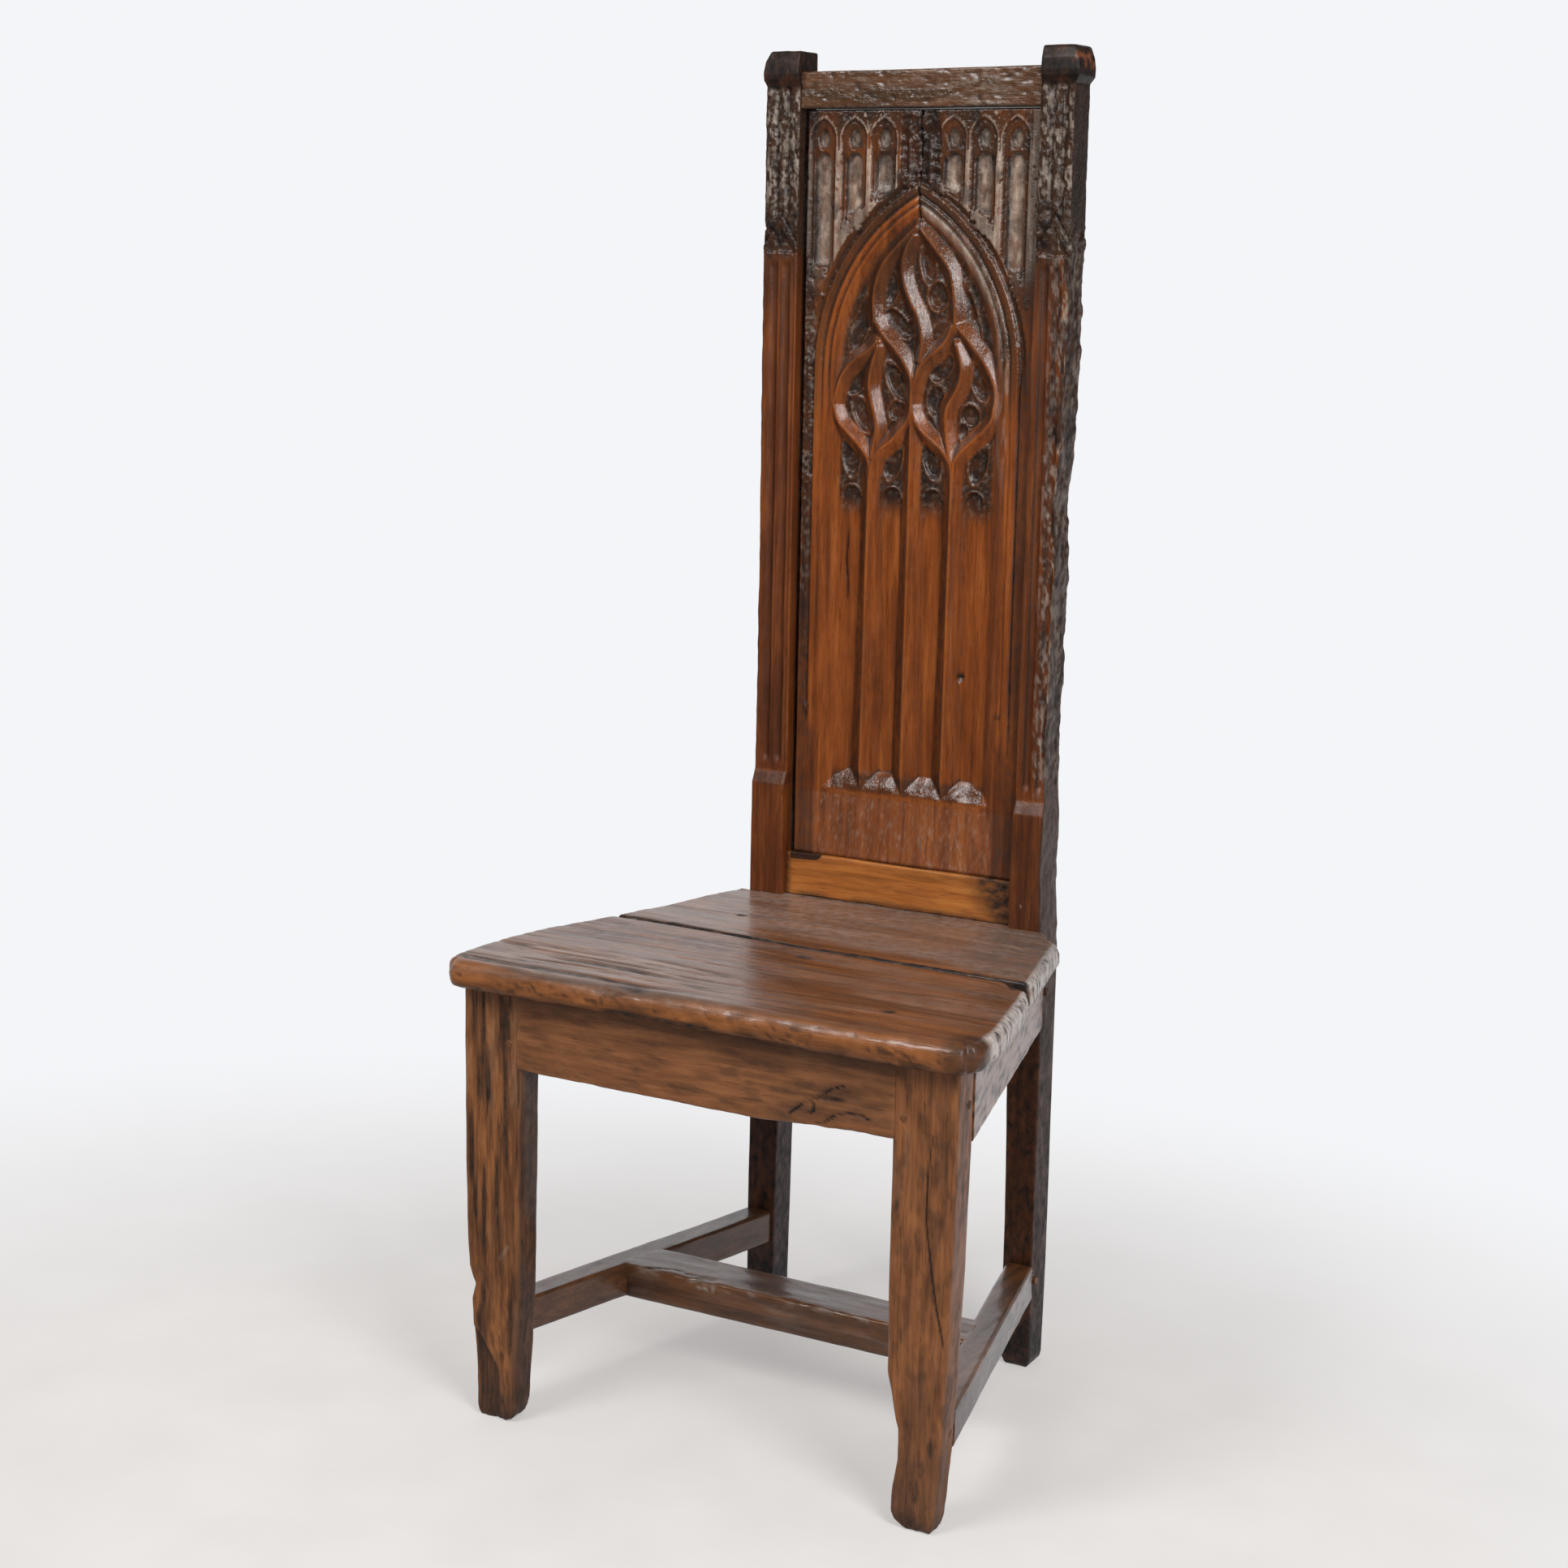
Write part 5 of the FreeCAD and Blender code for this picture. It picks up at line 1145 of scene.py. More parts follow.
@dataclass
class BackRails:
    """The rails above and below the panel, and the dark slip let into the lower one."""

    front: float = 193.5
    back: float = 219.5
    half: float = 133.0
    top_foot: float = 1276.0
    top_head: float = 1313.0
    lower_foot: float = 468.5
    lower_head: float = 513.5
    crown: Course = ((-134, 1312.5), (-60, 1313), (0, 1313.5), (60, 1314), (134, 1314.5))

    def build(self, top_finish: bpy.types.Material, lower_finish: bpy.types.Material,
              slip_finish: bpy.types.Material) -> None:
        """Makes the two rails and the slip.

        Args:
            top_finish: the oak of the top rail.
            lower_finish: the oak of the lower rail.
            slip_finish: the dark oak of the slip.
        """
        top = Timber(Axis.ACROSS, (self.front, self.top_foot, -self.half),
                     (self.back, self.top_head, self.half), (3.0, 1.5, 2.4), 2.2, 0.5, seed=41,
                     courses={"depth_high": self.crown})
        skin = top.skin()
        x, _, z = skin.points.T
        front = skin.facing((0, -1, 0))
        skin.roughen((20, 20, 90), 0.5, 111)
        # Dimples darkened with dust and painted shade, and painted glints on the rims between them.
        dimples = layered(skin.grain, (4.5, 4.5, 7), 113)
        skin.push(-0.9 * ease(dimples, 0.15, 0.55) * front)
        skin.mark("dirt_and_shade", 0.6 * ease(dimples, 0.3, 0.65))
        skin.mark("grey_and_sheen", 0.35 * front * ease(-dimples, 0.3, 0.55))
        skin.mark("age", 0.5 + 0.5 * ease(layered(skin.grain, (12, 12, 50), 115), 0, 0.5))
        patch = front * np.exp(-((x - 62) / 32) ** 2)
        skin.mottle("grey_and_sheen", 0.55 * patch, (3, 3, 7), 117, -0.1, 0.4)
        # Painted shade along the rail's foot, where it meets the panel.
        skin.mark("dirt_and_shade", 0.8 * (1 - ease(z, self.top_foot, self.top_foot + 4)))
        skin.make("top_rail", "oak_carved", top_finish)

        lower = Timber(Axis.ACROSS, (self.front, self.lower_foot, -self.half),
                       (self.back, self.lower_head, self.half), (3.0, 1.8, 2.6), 2.0, 0.5, seed=43)
        skin = lower.skin()
        x, _, z = skin.points.T
        skin.roughen((20, 20, 80), 0.6, 121)
        skin.roughen((4, 4, 20), 0.3, 123)
        # Painted shade darkens the rail towards its right end, along its foot on the seat, and at its left
        # end by the post.
        skin.mark("dirt_and_shade", 0.85 * ease(x + 0.55 * (z - 470), 84, 126))
        skin.mark("dirt_and_shade", 0.7 * (1 - ease(z, 468, 478)) * ease(noise(skin.grain, (8, 8, 30), 125), -0.4, 0.4))
        skin.mark("dirt_and_shade", 0.7 * ease(-x, 122, 131))
        skin.mottle("dirt_and_shade", 0.3, (4, 4, 60), 127, 0.3, 0.7)
        skin.make("lower_back_rail", "oak_rail", lower_finish)

        low, high = (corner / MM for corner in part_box("rail_repair_slip"))
        tapered = ((low.x, low.z), (high.x - 6, low.z + 1), (high.x, high.z - 2.5))
        slip = Timber(Axis.ACROSS, (low.y - 0.6, low.z, low.x), (high.y, high.z + 0.6, high.x),
                      (1.0, 1.0, 2.0), 0.8, 0.6, seed=45, courses={"depth_low": tapered})
        skin = slip.skin()
        skin.roughen((4, 4, 14), 0.4, 129)
        skin.make("rail_repair_slip", "oak_dark", slip_finish)


def blurred(grid: Array, passes: int) -> Array:
    """Smooths a grid of values by averaging neighbours several times.

    Args:
        grid: the values, in rows and columns.
        passes: how many times to average.

    Returns:
        The smoothed values.
    """
    for _ in range(passes):
        for way in (0, 1):
            edge = np.pad(grid, [(1, 1) if w == way else (0, 0) for w in (0, 1)], mode="edge")
            first = edge.take(range(0, grid.shape[way]), way)
            last = edge.take(range(2, grid.shape[way] + 2), way)
            grid = 0.25 * first + 0.5 * grid + 0.25 * last
    return grid


@dataclass
class CarvedPanel:
    """The tall panel: a blind arcade over a pointed arch, with flame-like tracery on three mullions.

    Courses are (X, Z) places along the top of each rib.
    """

    half: float = 130.7
    foot: float = 514.3
    top: float = 1275.2
    front: float = 197.5
    back: float = 217.5
    columns: int = 216
    arch_middle: float = 1.0
    arch_half: float = 115.0
    springing: float = 1020.0
    arch_rise: float = 185.0
    sill: float = 583.0
    rib_top: float = 1.5
    rib_slope: float = 0.8
    mullions: Course = ((-48.5, -50.5, 908), (-2.5, -3.0, 968), (44.5, 43.0, 908))
    moulding: Course = ((-2, 4), (0, 4), (1.4, 0.6), (4, -1.6), (7.5, -1.0), (9.3, 2.2), (10.8, 2.6),
                        (12.4, 0.6), (14.5, 0.1), (16, 1.0), (17.2, 2.8), (18.4, 2.8), (19.8, 1.2),
                        (21.5, 1.2), (24, 3.0), (32, 8.6), (38, 10.6), (45, 13))
    jamb: Course = ((-2, 2.4), (0, 2.2), (1.4, 0.4), (4, -0.8), (6.5, -0.4), (8, 1.6), (9, 1.8), (10.5, 0.8),
                    (12, 1.2), (22, 6.6), (30, 10.4), (36, 11.4), (45, 14))
    plain_jamb: Course = ((-2, 0.4), (0, 0.4), (9, 0.6), (12, 1.2), (22, 6.0), (30, 10), (36, 11), (45, 14))
    ribs: tuple[Course, ...] = (
        ((-48.5, 905), (-49, 925), (-54, 936), (-63, 946), (-75.5, 957.5), (-84, 966), (-89, 976),
         (-91, 985)),
        ((-91, 985), (-88, 997), (-81, 1015), (-68, 1029), (-53, 1038), (-43, 1048)),
        ((-47.5, 912), (-44.5, 929), (-36.5, 940), (-23, 951), (-11, 964), (-5, 974), (-3, 985)),
        ((-47, 932), (-43, 950), (-41.7, 962), (-44, 975), (-48, 990), (-50.5, 1005), (-49, 1020),
         (-45.5, 1033), (-42, 1043)),
        ((-3, 1008), (-5, 1015), (-11, 1027), (-23, 1042), (-38, 1057), (-46.7, 1070)),
        ((44.5, 905), (43.5, 925), (38, 936), (29.5, 946), (14.5, 957), (4.5, 967), (-0.5, 976), (-2.5, 985)),
        ((45, 912), (46, 930), (53, 941), (67, 954), (79.5, 965), (87, 976), (88.5, 985)),
        ((43, 930), (40, 940), (38, 952), (36.5, 965), (35.7, 977), (38, 987), (45.7, 1000), (50.7, 1012),
         (52, 1025), (49.5, 1036), (45, 1048)),
        ((-2, 1000), (0.5, 1012), (7, 1027), (21, 1039), (33, 1050), (40, 1065)),
        ((90, 1000), (87, 1012), (77, 1030), (66, 1043), (55, 1056), (44, 1066)),
        ((88.5, 985), (90, 993), (90, 1000)),
        ((-46.7, 1068), (-48, 1087), (-46, 1105), (-38, 1125), (-23, 1142), (-8, 1156), (0, 1163)),
        ((43, 1062), (42.7, 1080), (40, 1102), (35.7, 1119), (28, 1131), (15.7, 1145), (2, 1160)),
        ((5, 1030), (7, 1045), (5.7, 1060), (1, 1075), (-7, 1089), (-14, 1106), (-16, 1124), (-13, 1140),
         (-5, 1153)),
        ((-3, 968), (-3, 990), (-3, 1008)),
    )
    web: float = 9.5
    foils: Course = (
        (-65, 1010, 8, 14, 0.5), (-60.5, 974, 8.5, 15, -0.35), (-22, 1007, 9, 17, -0.45), (-21, 979, 8, 9, 0),
        (-26, 962, 4, 9, 0.3), (27.5, 1024, 9, 12, 0.4), (22, 991, 8, 13, 0), (28, 970, 4.5, 13, -0.3),
        (70, 1012, 8, 16, -0.2), (60, 977, 8.5, 10, 0), (53.5, 962, 4, 9, 0), (-73, 931, 8, 17, -0.1),
        (-24.5, 929, 8, 17, 0.2), (19, 932, 8, 17, -0.2), (71, 930, 8, 17, 0.2), (-27.5, 1107, 6, 20, 0.28),
        (-25, 1067, 10, 12, -0.5), (9, 1125, 7, 17, -0.15), (21, 1094, 9, 12, 0), (-62.5, 1067, 7, 26, 0.33),
        (58.7, 1072, 6, 26, -0.27), (-8, 1062, 6, 9, 0.5),
    )
    light_heads: tuple[float, ...] = (-71.0, -25.0, 20.5, 67.0)
    light_head_height: float = 892.0
    lancets: Course = ((-108, 1108), (-73, 1156), (-40, 1182), (36, 1182), (69.5, 1154), (104, 1102))
    lancet_jamb: Course = ((0, 8.4), (6.6, 8.4), (8.2, 7), (10.2, 2.6), (11.2, 2.4), (12, 4), (13, 4),
                           (13.9, 0.2), (15, -0.2), (17.5, -0.4))
    leaves: Course = (
        (-70, 1167, 9, 4.5), (-62, 1174, 6, 4), (-78, 1160, 6, 4), (70, 1165, 9, 4.5), (63, 1173, 6, 4),
        (77, 1158, 6, 4), (-111, 1114, 8, 4), (-117, 1102, 7, 4), (-112, 1094, 6, 3), (111, 1102, 8, 4),
        (117, 1090, 7, 4), (107, 1112, 6, 3), (-113, 669, 5, 3.5), (104, 680, 3, 2), (-19, 1210, 7, 4),
        (-11, 1204, 5, 3), (18, 1202, 7, 4), (25, 1197, 5, 3),
    )
    lancet_springing: float = 1246.0
    lancet_light: float = 1226.0
    lancet_eye: float = 1247.0
    mullion_head: float = 908.0
    mullion_length: float = 320.0
    scoop_top: float = 607.0
    scoop_height: float = 22.0
    split_at: float = 0.5
    shake_at: float = -76.0
    knot_at: tuple[float, float] = (57.0, 715.0)
    crown_middle: float = 1.0
    crown_half: float = 23.0
    crown_stems: tuple[float, ...] = (-11.0, 11.5)
    net_runs: Course = ((575, 15), (615, 26), (880, 66))
    net_last: int = 317
    back_every: int = 8
    grain_shift: float = 500.0

    def inset(self, x: Array, z: Array) -> Array:
        """Measures how far each place is inside the arch's outer line.

        Args:
            x: place across the panel.
            z: place up the panel.

        Returns:
            Distances in mm, below 0 outside the arch.
        """
        radius = (self.arch_half ** 2 + self.arch_rise ** 2) / (2 * self.arch_half)
        out = np.abs(x - self.arch_middle)
        curved = radius - np.hypot(out + radius - self.arch_half, z - self.springing)
        return np.where(z > self.springing, curved, self.arch_half - out)

    def ground(self, z: Array) -> Array:
        """Works out how deep the plain ground lies inside the arch.

        Args:
            z: place up the panel.

        Returns:
            Depths behind the panel's face.
        """
        scoop = np.clip((self.scoop_top - z) / self.scoop_height, 0, 1)
        deep = 11 + 3 * (1 - ease(z, 620, 860)) - 10.5 * scoop ** 0.8
        field_below = np.interp(z, [self.foot, self.sill], [1.0, 4.5])
        return np.where(z < self.sill, field_below, deep)

    def arcade(self, x: Array, z: Array) -> Array:
        """Works out how deep the row of small pointed lights above the arch is cut.

        Args:
            x: place across the panel.
            z: place up the panel.

        Returns:
            Depths behind the panel's face.
        """
        depth = np.full_like(x, -0.4)
        for middle, foot in self.lancets:
            out = np.abs(x - middle)
            over = z - self.lancet_springing
            head = np.where(over > 0, 23.4 - np.hypot(out + 7.9, over), 15.5 - out)
            eye = 6.4 * (1 - np.hypot(out / 6.4, (z - self.lancet_eye) / 10.5))
            light = 8.2 - np.hypot(out, np.clip(z - self.lancet_light, 0, None))
            top = 0.5 + 2.2 * ease(head, 0.4, 1.8) - 1.0 * np.exp(-((head - 0.2) / 0.8) ** 2)
            top = top + 5.6 * ease(eye, -0.6, 2.2) + 5.6 * ease(light, -0.4, 1.6)
            low = follow(self.lancet_jamb, out)
            joined = (1 - ease(z, self.lancet_light, self.lancet_light + 14)) * (out > 9)
            cut = np.where(z > self.lancet_light, top + (low - top) * joined, low)
            cut = cut * ease(z, foot - 2, foot + 24)
            depth = np.where((out < 17.5) & (cut > depth), cut, depth)
        middle = ease(self.crown_half - np.abs(x - self.crown_middle), 0, 3)
        spot = np.stack([x, np.zeros_like(x), z], 1)
        lumps = layered(spot, (8, 8, 9), 157)
        crown = 5.0 - 3.4 * ease(lumps, -0.3, 0.5) - 2.6 * ease(z, 1250, 1262)
        for stem in self.crown_stems:
            crown = np.minimum(crown, 0.8 + 0.25 * (x - stem) ** 2 + 6 * ease(z, 1244, 1254))
        return depth * (1 - middle) + crown * middle

    def carving(self, x: Array, z: Array) -> tuple[Array, dict[str, Array]]:
        """Works out the depth of the carving.

        Args:
            x: place across the panel.
            z: place up the panel.

        Returns:
            Depths behind the panel's face, and how far each place belongs to each zone of wear and of painted
            shade.
        """
        places = np.stack([x, z], 1)
        spot = np.stack([x, np.zeros_like(x), z], 1)
        inset = self.inset(x, z)
        ground = self.ground(z)
        # Mouldings round the arch that die into plainer jambs below.
        jamb = follow(self.moulding, inset)
        straight = 1 - ease(z, 930, 1020)
        jamb = jamb * (1 - straight) + straight * follow(self.jamb, inset)
        plain = 1 - ease(z, 648 + 4 * np.sign(x), 668 + 4 * np.sign(x))
        jamb = jamb * (1 - plain) + plain * follow(self.plain_jamb, inset)

        # Openings of the tracery and round heads of the lights, sunk in a web.
        sunk = np.full_like(x, -np.inf)
        for fx, fz, half_width, half_height, lean in self.foils:
            across = (x - fx - lean * (z - fz)) / (1.2 * half_width)
            sunk = np.maximum(sunk, (1 - np.hypot(across, (z - fz) / (1.15 * half_height))) * half_width)
        round_head = np.full_like(x, -np.inf)
        for middle in self.light_heads:
            head = 10 - np.hypot(x - middle, np.clip(z - self.light_head_height, 0, None))
            round_head = np.maximum(round_head, head)
        rim = np.maximum(np.exp(-((sunk + 0.9) / 1.0) ** 2),
                         np.exp(-((round_head + 1.0) / 1.1) ** 2) * ease(z, 866, 892))
        web = self.web + 3.0 * ease(sunk, 0.0, 2.2) - 1.3 * rim
        in_light = np.where(z < self.light_head_height, 1.0, ease(round_head, -0.4, 1.2))
        inside = np.minimum(jamb, (ground + 1.5 * ease(z, 850, 885)) * in_light + web * (1 - in_light))

        # Ribs and mullions that stand over the ground.
        crest = np.full_like(x, np.inf)
        for course in self.ribs:
            crest = np.minimum(crest, distance_to(smooth_line(course), places))
        bar = np.full_like(x, np.inf)
        for head, foot, height in self.mullions:
            middle = head + (foot - head) * (self.mullion_head - z) / self.mullion_length
            bar = np.minimum(bar, np.hypot(x - middle, 1.6 * np.clip(z - height, 0, None)))
        top = self.rib_top + 3.5 * (1 - ease(z, 584, 612))
        near_rib = np.minimum(np.where(z > 880, crest, np.inf), bar)
        carved = np.minimum(self.rib_top + self.rib_slope * np.clip(crest - 0.5, 0, None),
                            top + self.rib_slope * np.clip(bar - 0.5, 0, None))
        carved = np.where(z > self.sill, carved, np.inf)
        inside = np.where(inset > 12, np.minimum(inside, carved), inside)

        # The arcade outside the arch, with a groove between them.
        outside = self.arcade(x, z) * ease(-inset, 3, 9)
        outside = np.maximum(outside, 4 * np.exp(-((inset + 3) / 3) ** 2) * ease(z, 1000, 1040))
        depth = np.where(inset > -1, inside, outside)
        depth = np.where(inset <= -1, np.maximum(depth, np.where(inset > -2, jamb, 0)), depth)

        # Lobed leaves, and rough foliage up the left edge.
        leaf = np.full_like(x, np.inf)
        crumple = 0.9 * layered(spot, (3.4, 3.4, 3.4), 155)
        for lx, lz, radius, height in self.leaves:
            lobes = np.cos(5 * np.arctan2(z - lz, x - lx) + lx)
            reach = radius * (1 + 0.22 * lobes)
            hump = np.clip(1 - ((x - lx) ** 2 + (z - lz) ** 2) / reach ** 2, 0, None)
            curl = 1.2 * lobes * np.sqrt(1 - hump) + crumple
            leaf = np.where(hump > 0, np.minimum(leaf, 1.5 - height * np.sqrt(hump) - curl), leaf)
        leafy = leaf < depth
        depth = np.minimum(depth, leaf)
        strip = ease(-x, 112, 115) * ease(z, 620, 960) * (1 - ease(z, 1120, 1135))
        foliage = layered(spot, (6, 6, 7), 159) * strip
        depth = depth + 0.6 * strip - 2.6 * ease(foliage, 0.0, 0.5) * ease(z, 780, 960)
        # The most weathered parts are pitted.
        wild = np.maximum(strip, leafy.astype(float))
        wild = np.maximum(wild, ease(z, 1140, 1180) * (inset < 1) * (0.4 + 0.6 * (np.abs(x) < 22)))
        cells = ease(near_rib, 9, 11.5) * ease(z, 866, 898) * ease(inset, 27, 33)
        wild = np.maximum(wild, 0.4 * cells)
        wild = np.maximum(wild, 0.9 * ((inset > -3) & (inset < 9)) * ease(z, 960, 1060))
        pits = layered(spot, (4.2, 4.2, 5.2), 131)
        depth = depth + wild * 1.1 * pits

        # A split over the arch, a knot, a shake, lumps at the foot of the lights, and sunk edges.
        split = 1 - ease(np.abs(x - self.split_at - 0.8 * noise(spot, (9, 9, 18), 133)), 0.6, 1.5)
        split = split * ease(z, 1152, 1166)
        depth = np.maximum(depth, 9 * split)
        knot = 1 - ease(np.hypot(x - self.knot_at[0], (z - self.knot_at[1]) / 1.1), 2.0, 4.2)
        depth = depth + 5 * knot
        shake = 1 - ease(np.abs(x - self.shake_at + 2 * noise(spot, (9, 9, 30), 137)), 0.5, 1.5)
        shake = shake * ease(z, 780, 792) * (1 - ease(z, 835, 870))
        depth = depth + 2.5 * shake
        stops = ease(z, 584, 588) * (1 - ease(z, 600, 609)) * (inset > 28)
        depth = depth + 1.2 * stops * noise(spot, (13, 13, 10), 167)
        side_edge = ease(np.abs(x - 2.5), self.half - 3.5, self.half - 0.4)
        depth = np.maximum(depth, 9 * side_edge)
        depth = np.maximum(depth, 2.5 * ease(z, self.top - 1.6, self.top))
        depth = depth + 0.45 * layered(spot, (16, 16, 60), 139) * (1 - wild)

        zones = {"inset": inset, "rim": rim, "cells": cells, "strip": strip, "leafy": leafy, "split": split,
                 "knot": knot, "shake": shake, "stops": stops, "side_edge": side_edge}
        return depth, zones

    def ageing(self, x: Array, z: Array, depth: Array, zones: dict[str, Array]) -> dict[str, Array]:
        """Works out where the carving has dust, painted shade, wear, grey, painted highlights and sheen, and
        age.

        Args:
            x: place across the panel.
            z: place up the panel.
            depth: how deep the carving is there.
            zones: how far each place belongs to each zone.

        Returns:
            The marks by name.
        """
        spot = np.stack([x, np.zeros_like(x), z], 1)
        inset, rim, cells, strip, leafy = (zones[n] for n in ("inset", "rim", "cells", "strip", "leafy"))
        out = np.abs(x)
        crown = ease(self.crown_half - np.abs(x - self.crown_middle), 0, 3)
        # Dust and old wax in damage, in the leaves, the crown and round the arch's head, and dark lines along
        # the low edges; dust with painted shade in the cells between the ribs; and painted shadow of the
        # posts along the panel's sides and the strips beside them, over the dark foliage on the left.
        dusty = ease(layered(spot, (9, 9, 16), 143), -0.1, 0.5)
        dirt_and_shade = np.max([
            0.95 * zones["split"], zones["knot"], 0.8 * zones["shake"], 0.95 * zones["side_edge"],
            0.75 * cells * (0.85 + 0.3 * noise(spot, 9, 141)) * (1 - 0.6 * rim),
            ease(-x, 111, 115) * (0.5 + 0.15 * ease(z, 560, 700)) * (inset < 4),
            0.55 * ease(x, 112, 118) * (inset < 4),
            0.7 * crown * (inset < 0) * ease(z, 1190, 1210),
            0.6 * (1 - ease(inset, -8, -2)) * ease(z, 1130, 1170) * dusty,
            0.3 * ease(layered(spot, (6, 6, 140), 145), 0.25, 0.7),
            leafy * 0.45, 0.45 * ease(out, 101, 106) * (1 - ease(z, 640, 665)),
        ], axis=0)
        # Painted shade down the left of each lancet and in the left of its eye.
        for middle, foot in self.lancets:
            shade = np.exp(-((x - middle + 8.6) / 1.8) ** 2) * ease(z, foot, foot + 30)
            shade = shade * (1 - ease(z, self.lancet_light, self.lancet_light + 8))
            eye = np.exp(-((x - middle + 4) / 3.0) ** 2 - ((z - self.lancet_eye) / 7) ** 2)
            dirt_and_shade = np.maximum(dirt_and_shade, 0.9 * np.maximum(shade, eye) * (inset < -3))

        # Smoke and age, over the arch and round its head.
        hood = (inset > -8) & (inset < np.where(x > 0, 21, 11))
        age = np.max([
            ease(z, 1050, 1120) * (inset < 1), hood * ease(z, 940, 1060),
            0.72 * ease(z, 930, 1080) * ease(inset, 25, 32), 0.9 * strip, 0.85 * cells, leafy * 0.8,
        ], axis=0) * (0.85 + 0.35 * noise(spot, (22, 22, 45), 147))
        age = np.maximum(age, 0.7 * zones["stops"])

        # Scratches and specks, and painted highlights and sheen: on the arcade's fillets and the floors of
        # its lights, as glints in the cells and the left strip, down the right lancet, on the arch's right
        # band and in a flash beside the apex.
        scratches = ease(layered(spot + 0.35 * spot[:, [2, 1, 0]], (3, 3, 22), 149), 0.15, 0.55)
        sheen_on_fillets_and_lights = np.maximum((depth < 0.3) * (0.6 + 0.4 * layered(spot, (3, 3, 30), 161)),
                            ease(depth, 5, 6.5) * (0.55 + 0.55 * layered(spot, (5, 5, 12), 162)))
        specks = 0.22 * ease(layered(spot, (2.6, 2.6, 2.6), 163), 0.15, 0.5) * (1 - ease(out, 96, 106))
        glints = ease(-layered(spot, (3, 3, 3.4), 165), 0.15, 0.45)
        sheen = np.exp(-((x - 103) / 7) ** 2) * ease(depth, 5, 6.5) * (inset < -4) * ease(z, 1120, 1160)
        band = ease(x, 20, 60) * ease(inset, 10, 13) * (1 - ease(inset, 23, 29)) * ease(z, 880, 980)
        flash = ease(x, 3, 9) * ease(inset, 15, 19) * (1 - ease(inset, 24, 29)) * ease(z, 1060, 1120)
        grey_and_sheen = np.max([
            0.45 * (z < self.sill - 3) * ease(x, -10, 50) * scratches * (1 - ease(z, 545, 570)),
            (inset < -4) * (out > 24) * ease(z, 1090, 1150) * sheen_on_fillets_and_lights,
            (0.06 + specks) * (1 - ease(z, self.sill - 6, self.sill)),
            np.maximum(0.3 * cells, 0.7 * strip) * glints,
            0.9 * sheen * (0.8 + 0.4 * layered(spot, (3, 3, 24), 169)),
            0.3 * band * ease(layered(spot, (4, 4, 22), 171), -0.3, 0.3),
            0.75 * flash * (0.8 + 0.4 * layered(spot, (3, 3, 24), 173)),
        ], axis=0)
        # A painted highlight along the sill's edge, and worn rims round the cells.
        wear_and_highlight = np.maximum(np.exp(-((z - self.sill) / 1.6) ** 2) * (inset > 28), 0.4 * rim * cells)
        return {"dirt_and_shade": dirt_and_shade, "wear_and_highlight": wear_and_highlight, "grey_and_sheen": grey_and_sheen, "age": age}

    def build(self, finish: bpy.types.Material) -> None:
        """Makes the panel: a fine net in front, a coarse one behind, and a rim between them.

        Args:
            finish: the carved oak.
        """
        heights, start = [], self.foot
        for end, count in (*self.net_runs, (self.top, self.net_last)):
            heights.append(np.linspace(start, end, count, endpoint=False))
            start = end
        rows = np.concatenate([*heights, [self.top]])
        columns = np.linspace(-self.half, self.half, self.columns + 1)
        z, x = (g.ravel() for g in np.meshgrid(rows, columns, indexing="ij"))
        depth, zones = self.carving(x, z)
        marks = self.ageing(x, z, depth, zones)
        shape = (len(rows), len(columns))
        # Painted shade in the hollows, and wear with painted highlights along the crests.
        hollow = (depth.reshape(shape) - blurred(depth.reshape(shape), 10)).ravel()
        marks["dirt_and_shade"] = np.maximum(marks["dirt_and_shade"], (0.9 - 0.35 * marks["age"]) * ease(hollow, 0.3, 1.5))
        marks["wear_and_highlight"] = np.maximum(marks["wear_and_highlight"], 0.85 * ease(-hollow, 0.4, 1.5))
        # Painted shade on the slopes that face left.
        turn = np.gradient(depth.reshape(shape), columns, axis=1).ravel()
        left_facing_shade = ease(-turn, 0.25, 0.7) * ease(zones["inset"], 14, 26) * (z > self.sill + 8)
        marks["dirt_and_shade"] = np.maximum(marks["dirt_and_shade"], 0.62 * left_facing_shade)
        front = np.stack([x, self.front + depth, z], 1)

        every = self.back_every
        back_columns, back_rows = columns[::every], rows[np.r_[0:len(rows) - 1:every, len(rows) - 1]]
        bz, bx = (g.ravel() for g in np.meshgrid(back_rows, back_columns, indexing="ij"))
        spot = np.stack([bx, np.zeros_like(bx), bz], 1)
        back = np.stack([bx, self.back - 0.7 + 0.7 * noise(spot, (40, 40, 130), 151), bz], 1)

        number = np.arange(len(front)).reshape(shape)
        behind = len(front) + np.arange(len(back)).reshape(len(back_rows), len(back_columns))
        front_net = np.stack([number[:-1, :-1], number[:-1, 1:], number[1:, 1:], number[1:, :-1]], -1)
        back_net = np.stack([behind[:-1, :-1], behind[1:, :-1], behind[1:, 1:], behind[:-1, 1:]], -1)
        faces = [*front_net.reshape(-1, 4), *back_net.reshape(-1, 4)]
        for fine, coarse, flip in ((number[0], behind[0], True), (number[-1], behind[-1], False),
                                   (number[:, 0], behind[:, 0], False), (number[:, -1], behind[:, -1], True)):
            for place in range(len(coarse) - 1):
                last = min(place * every + every, len(fine) - 1)
                rim = [*fine[place * every:last + 1], coarse[place + 1], coarse[place]]
                faces.append(rim[::-1] if flip else rim)
        points = np.vstack([front, back])
        for name in MARKS:
            plain = np.full(len(back), 0.2 if name == "dirt_and_shade" else 0)
            marks[name] = np.concatenate([np.clip(marks[name], 0, 1), plain])
        skin = Skin(points, faces, points + self.grain_shift, marks)
        skin.make("carved_panel", "oak_carved", finish)


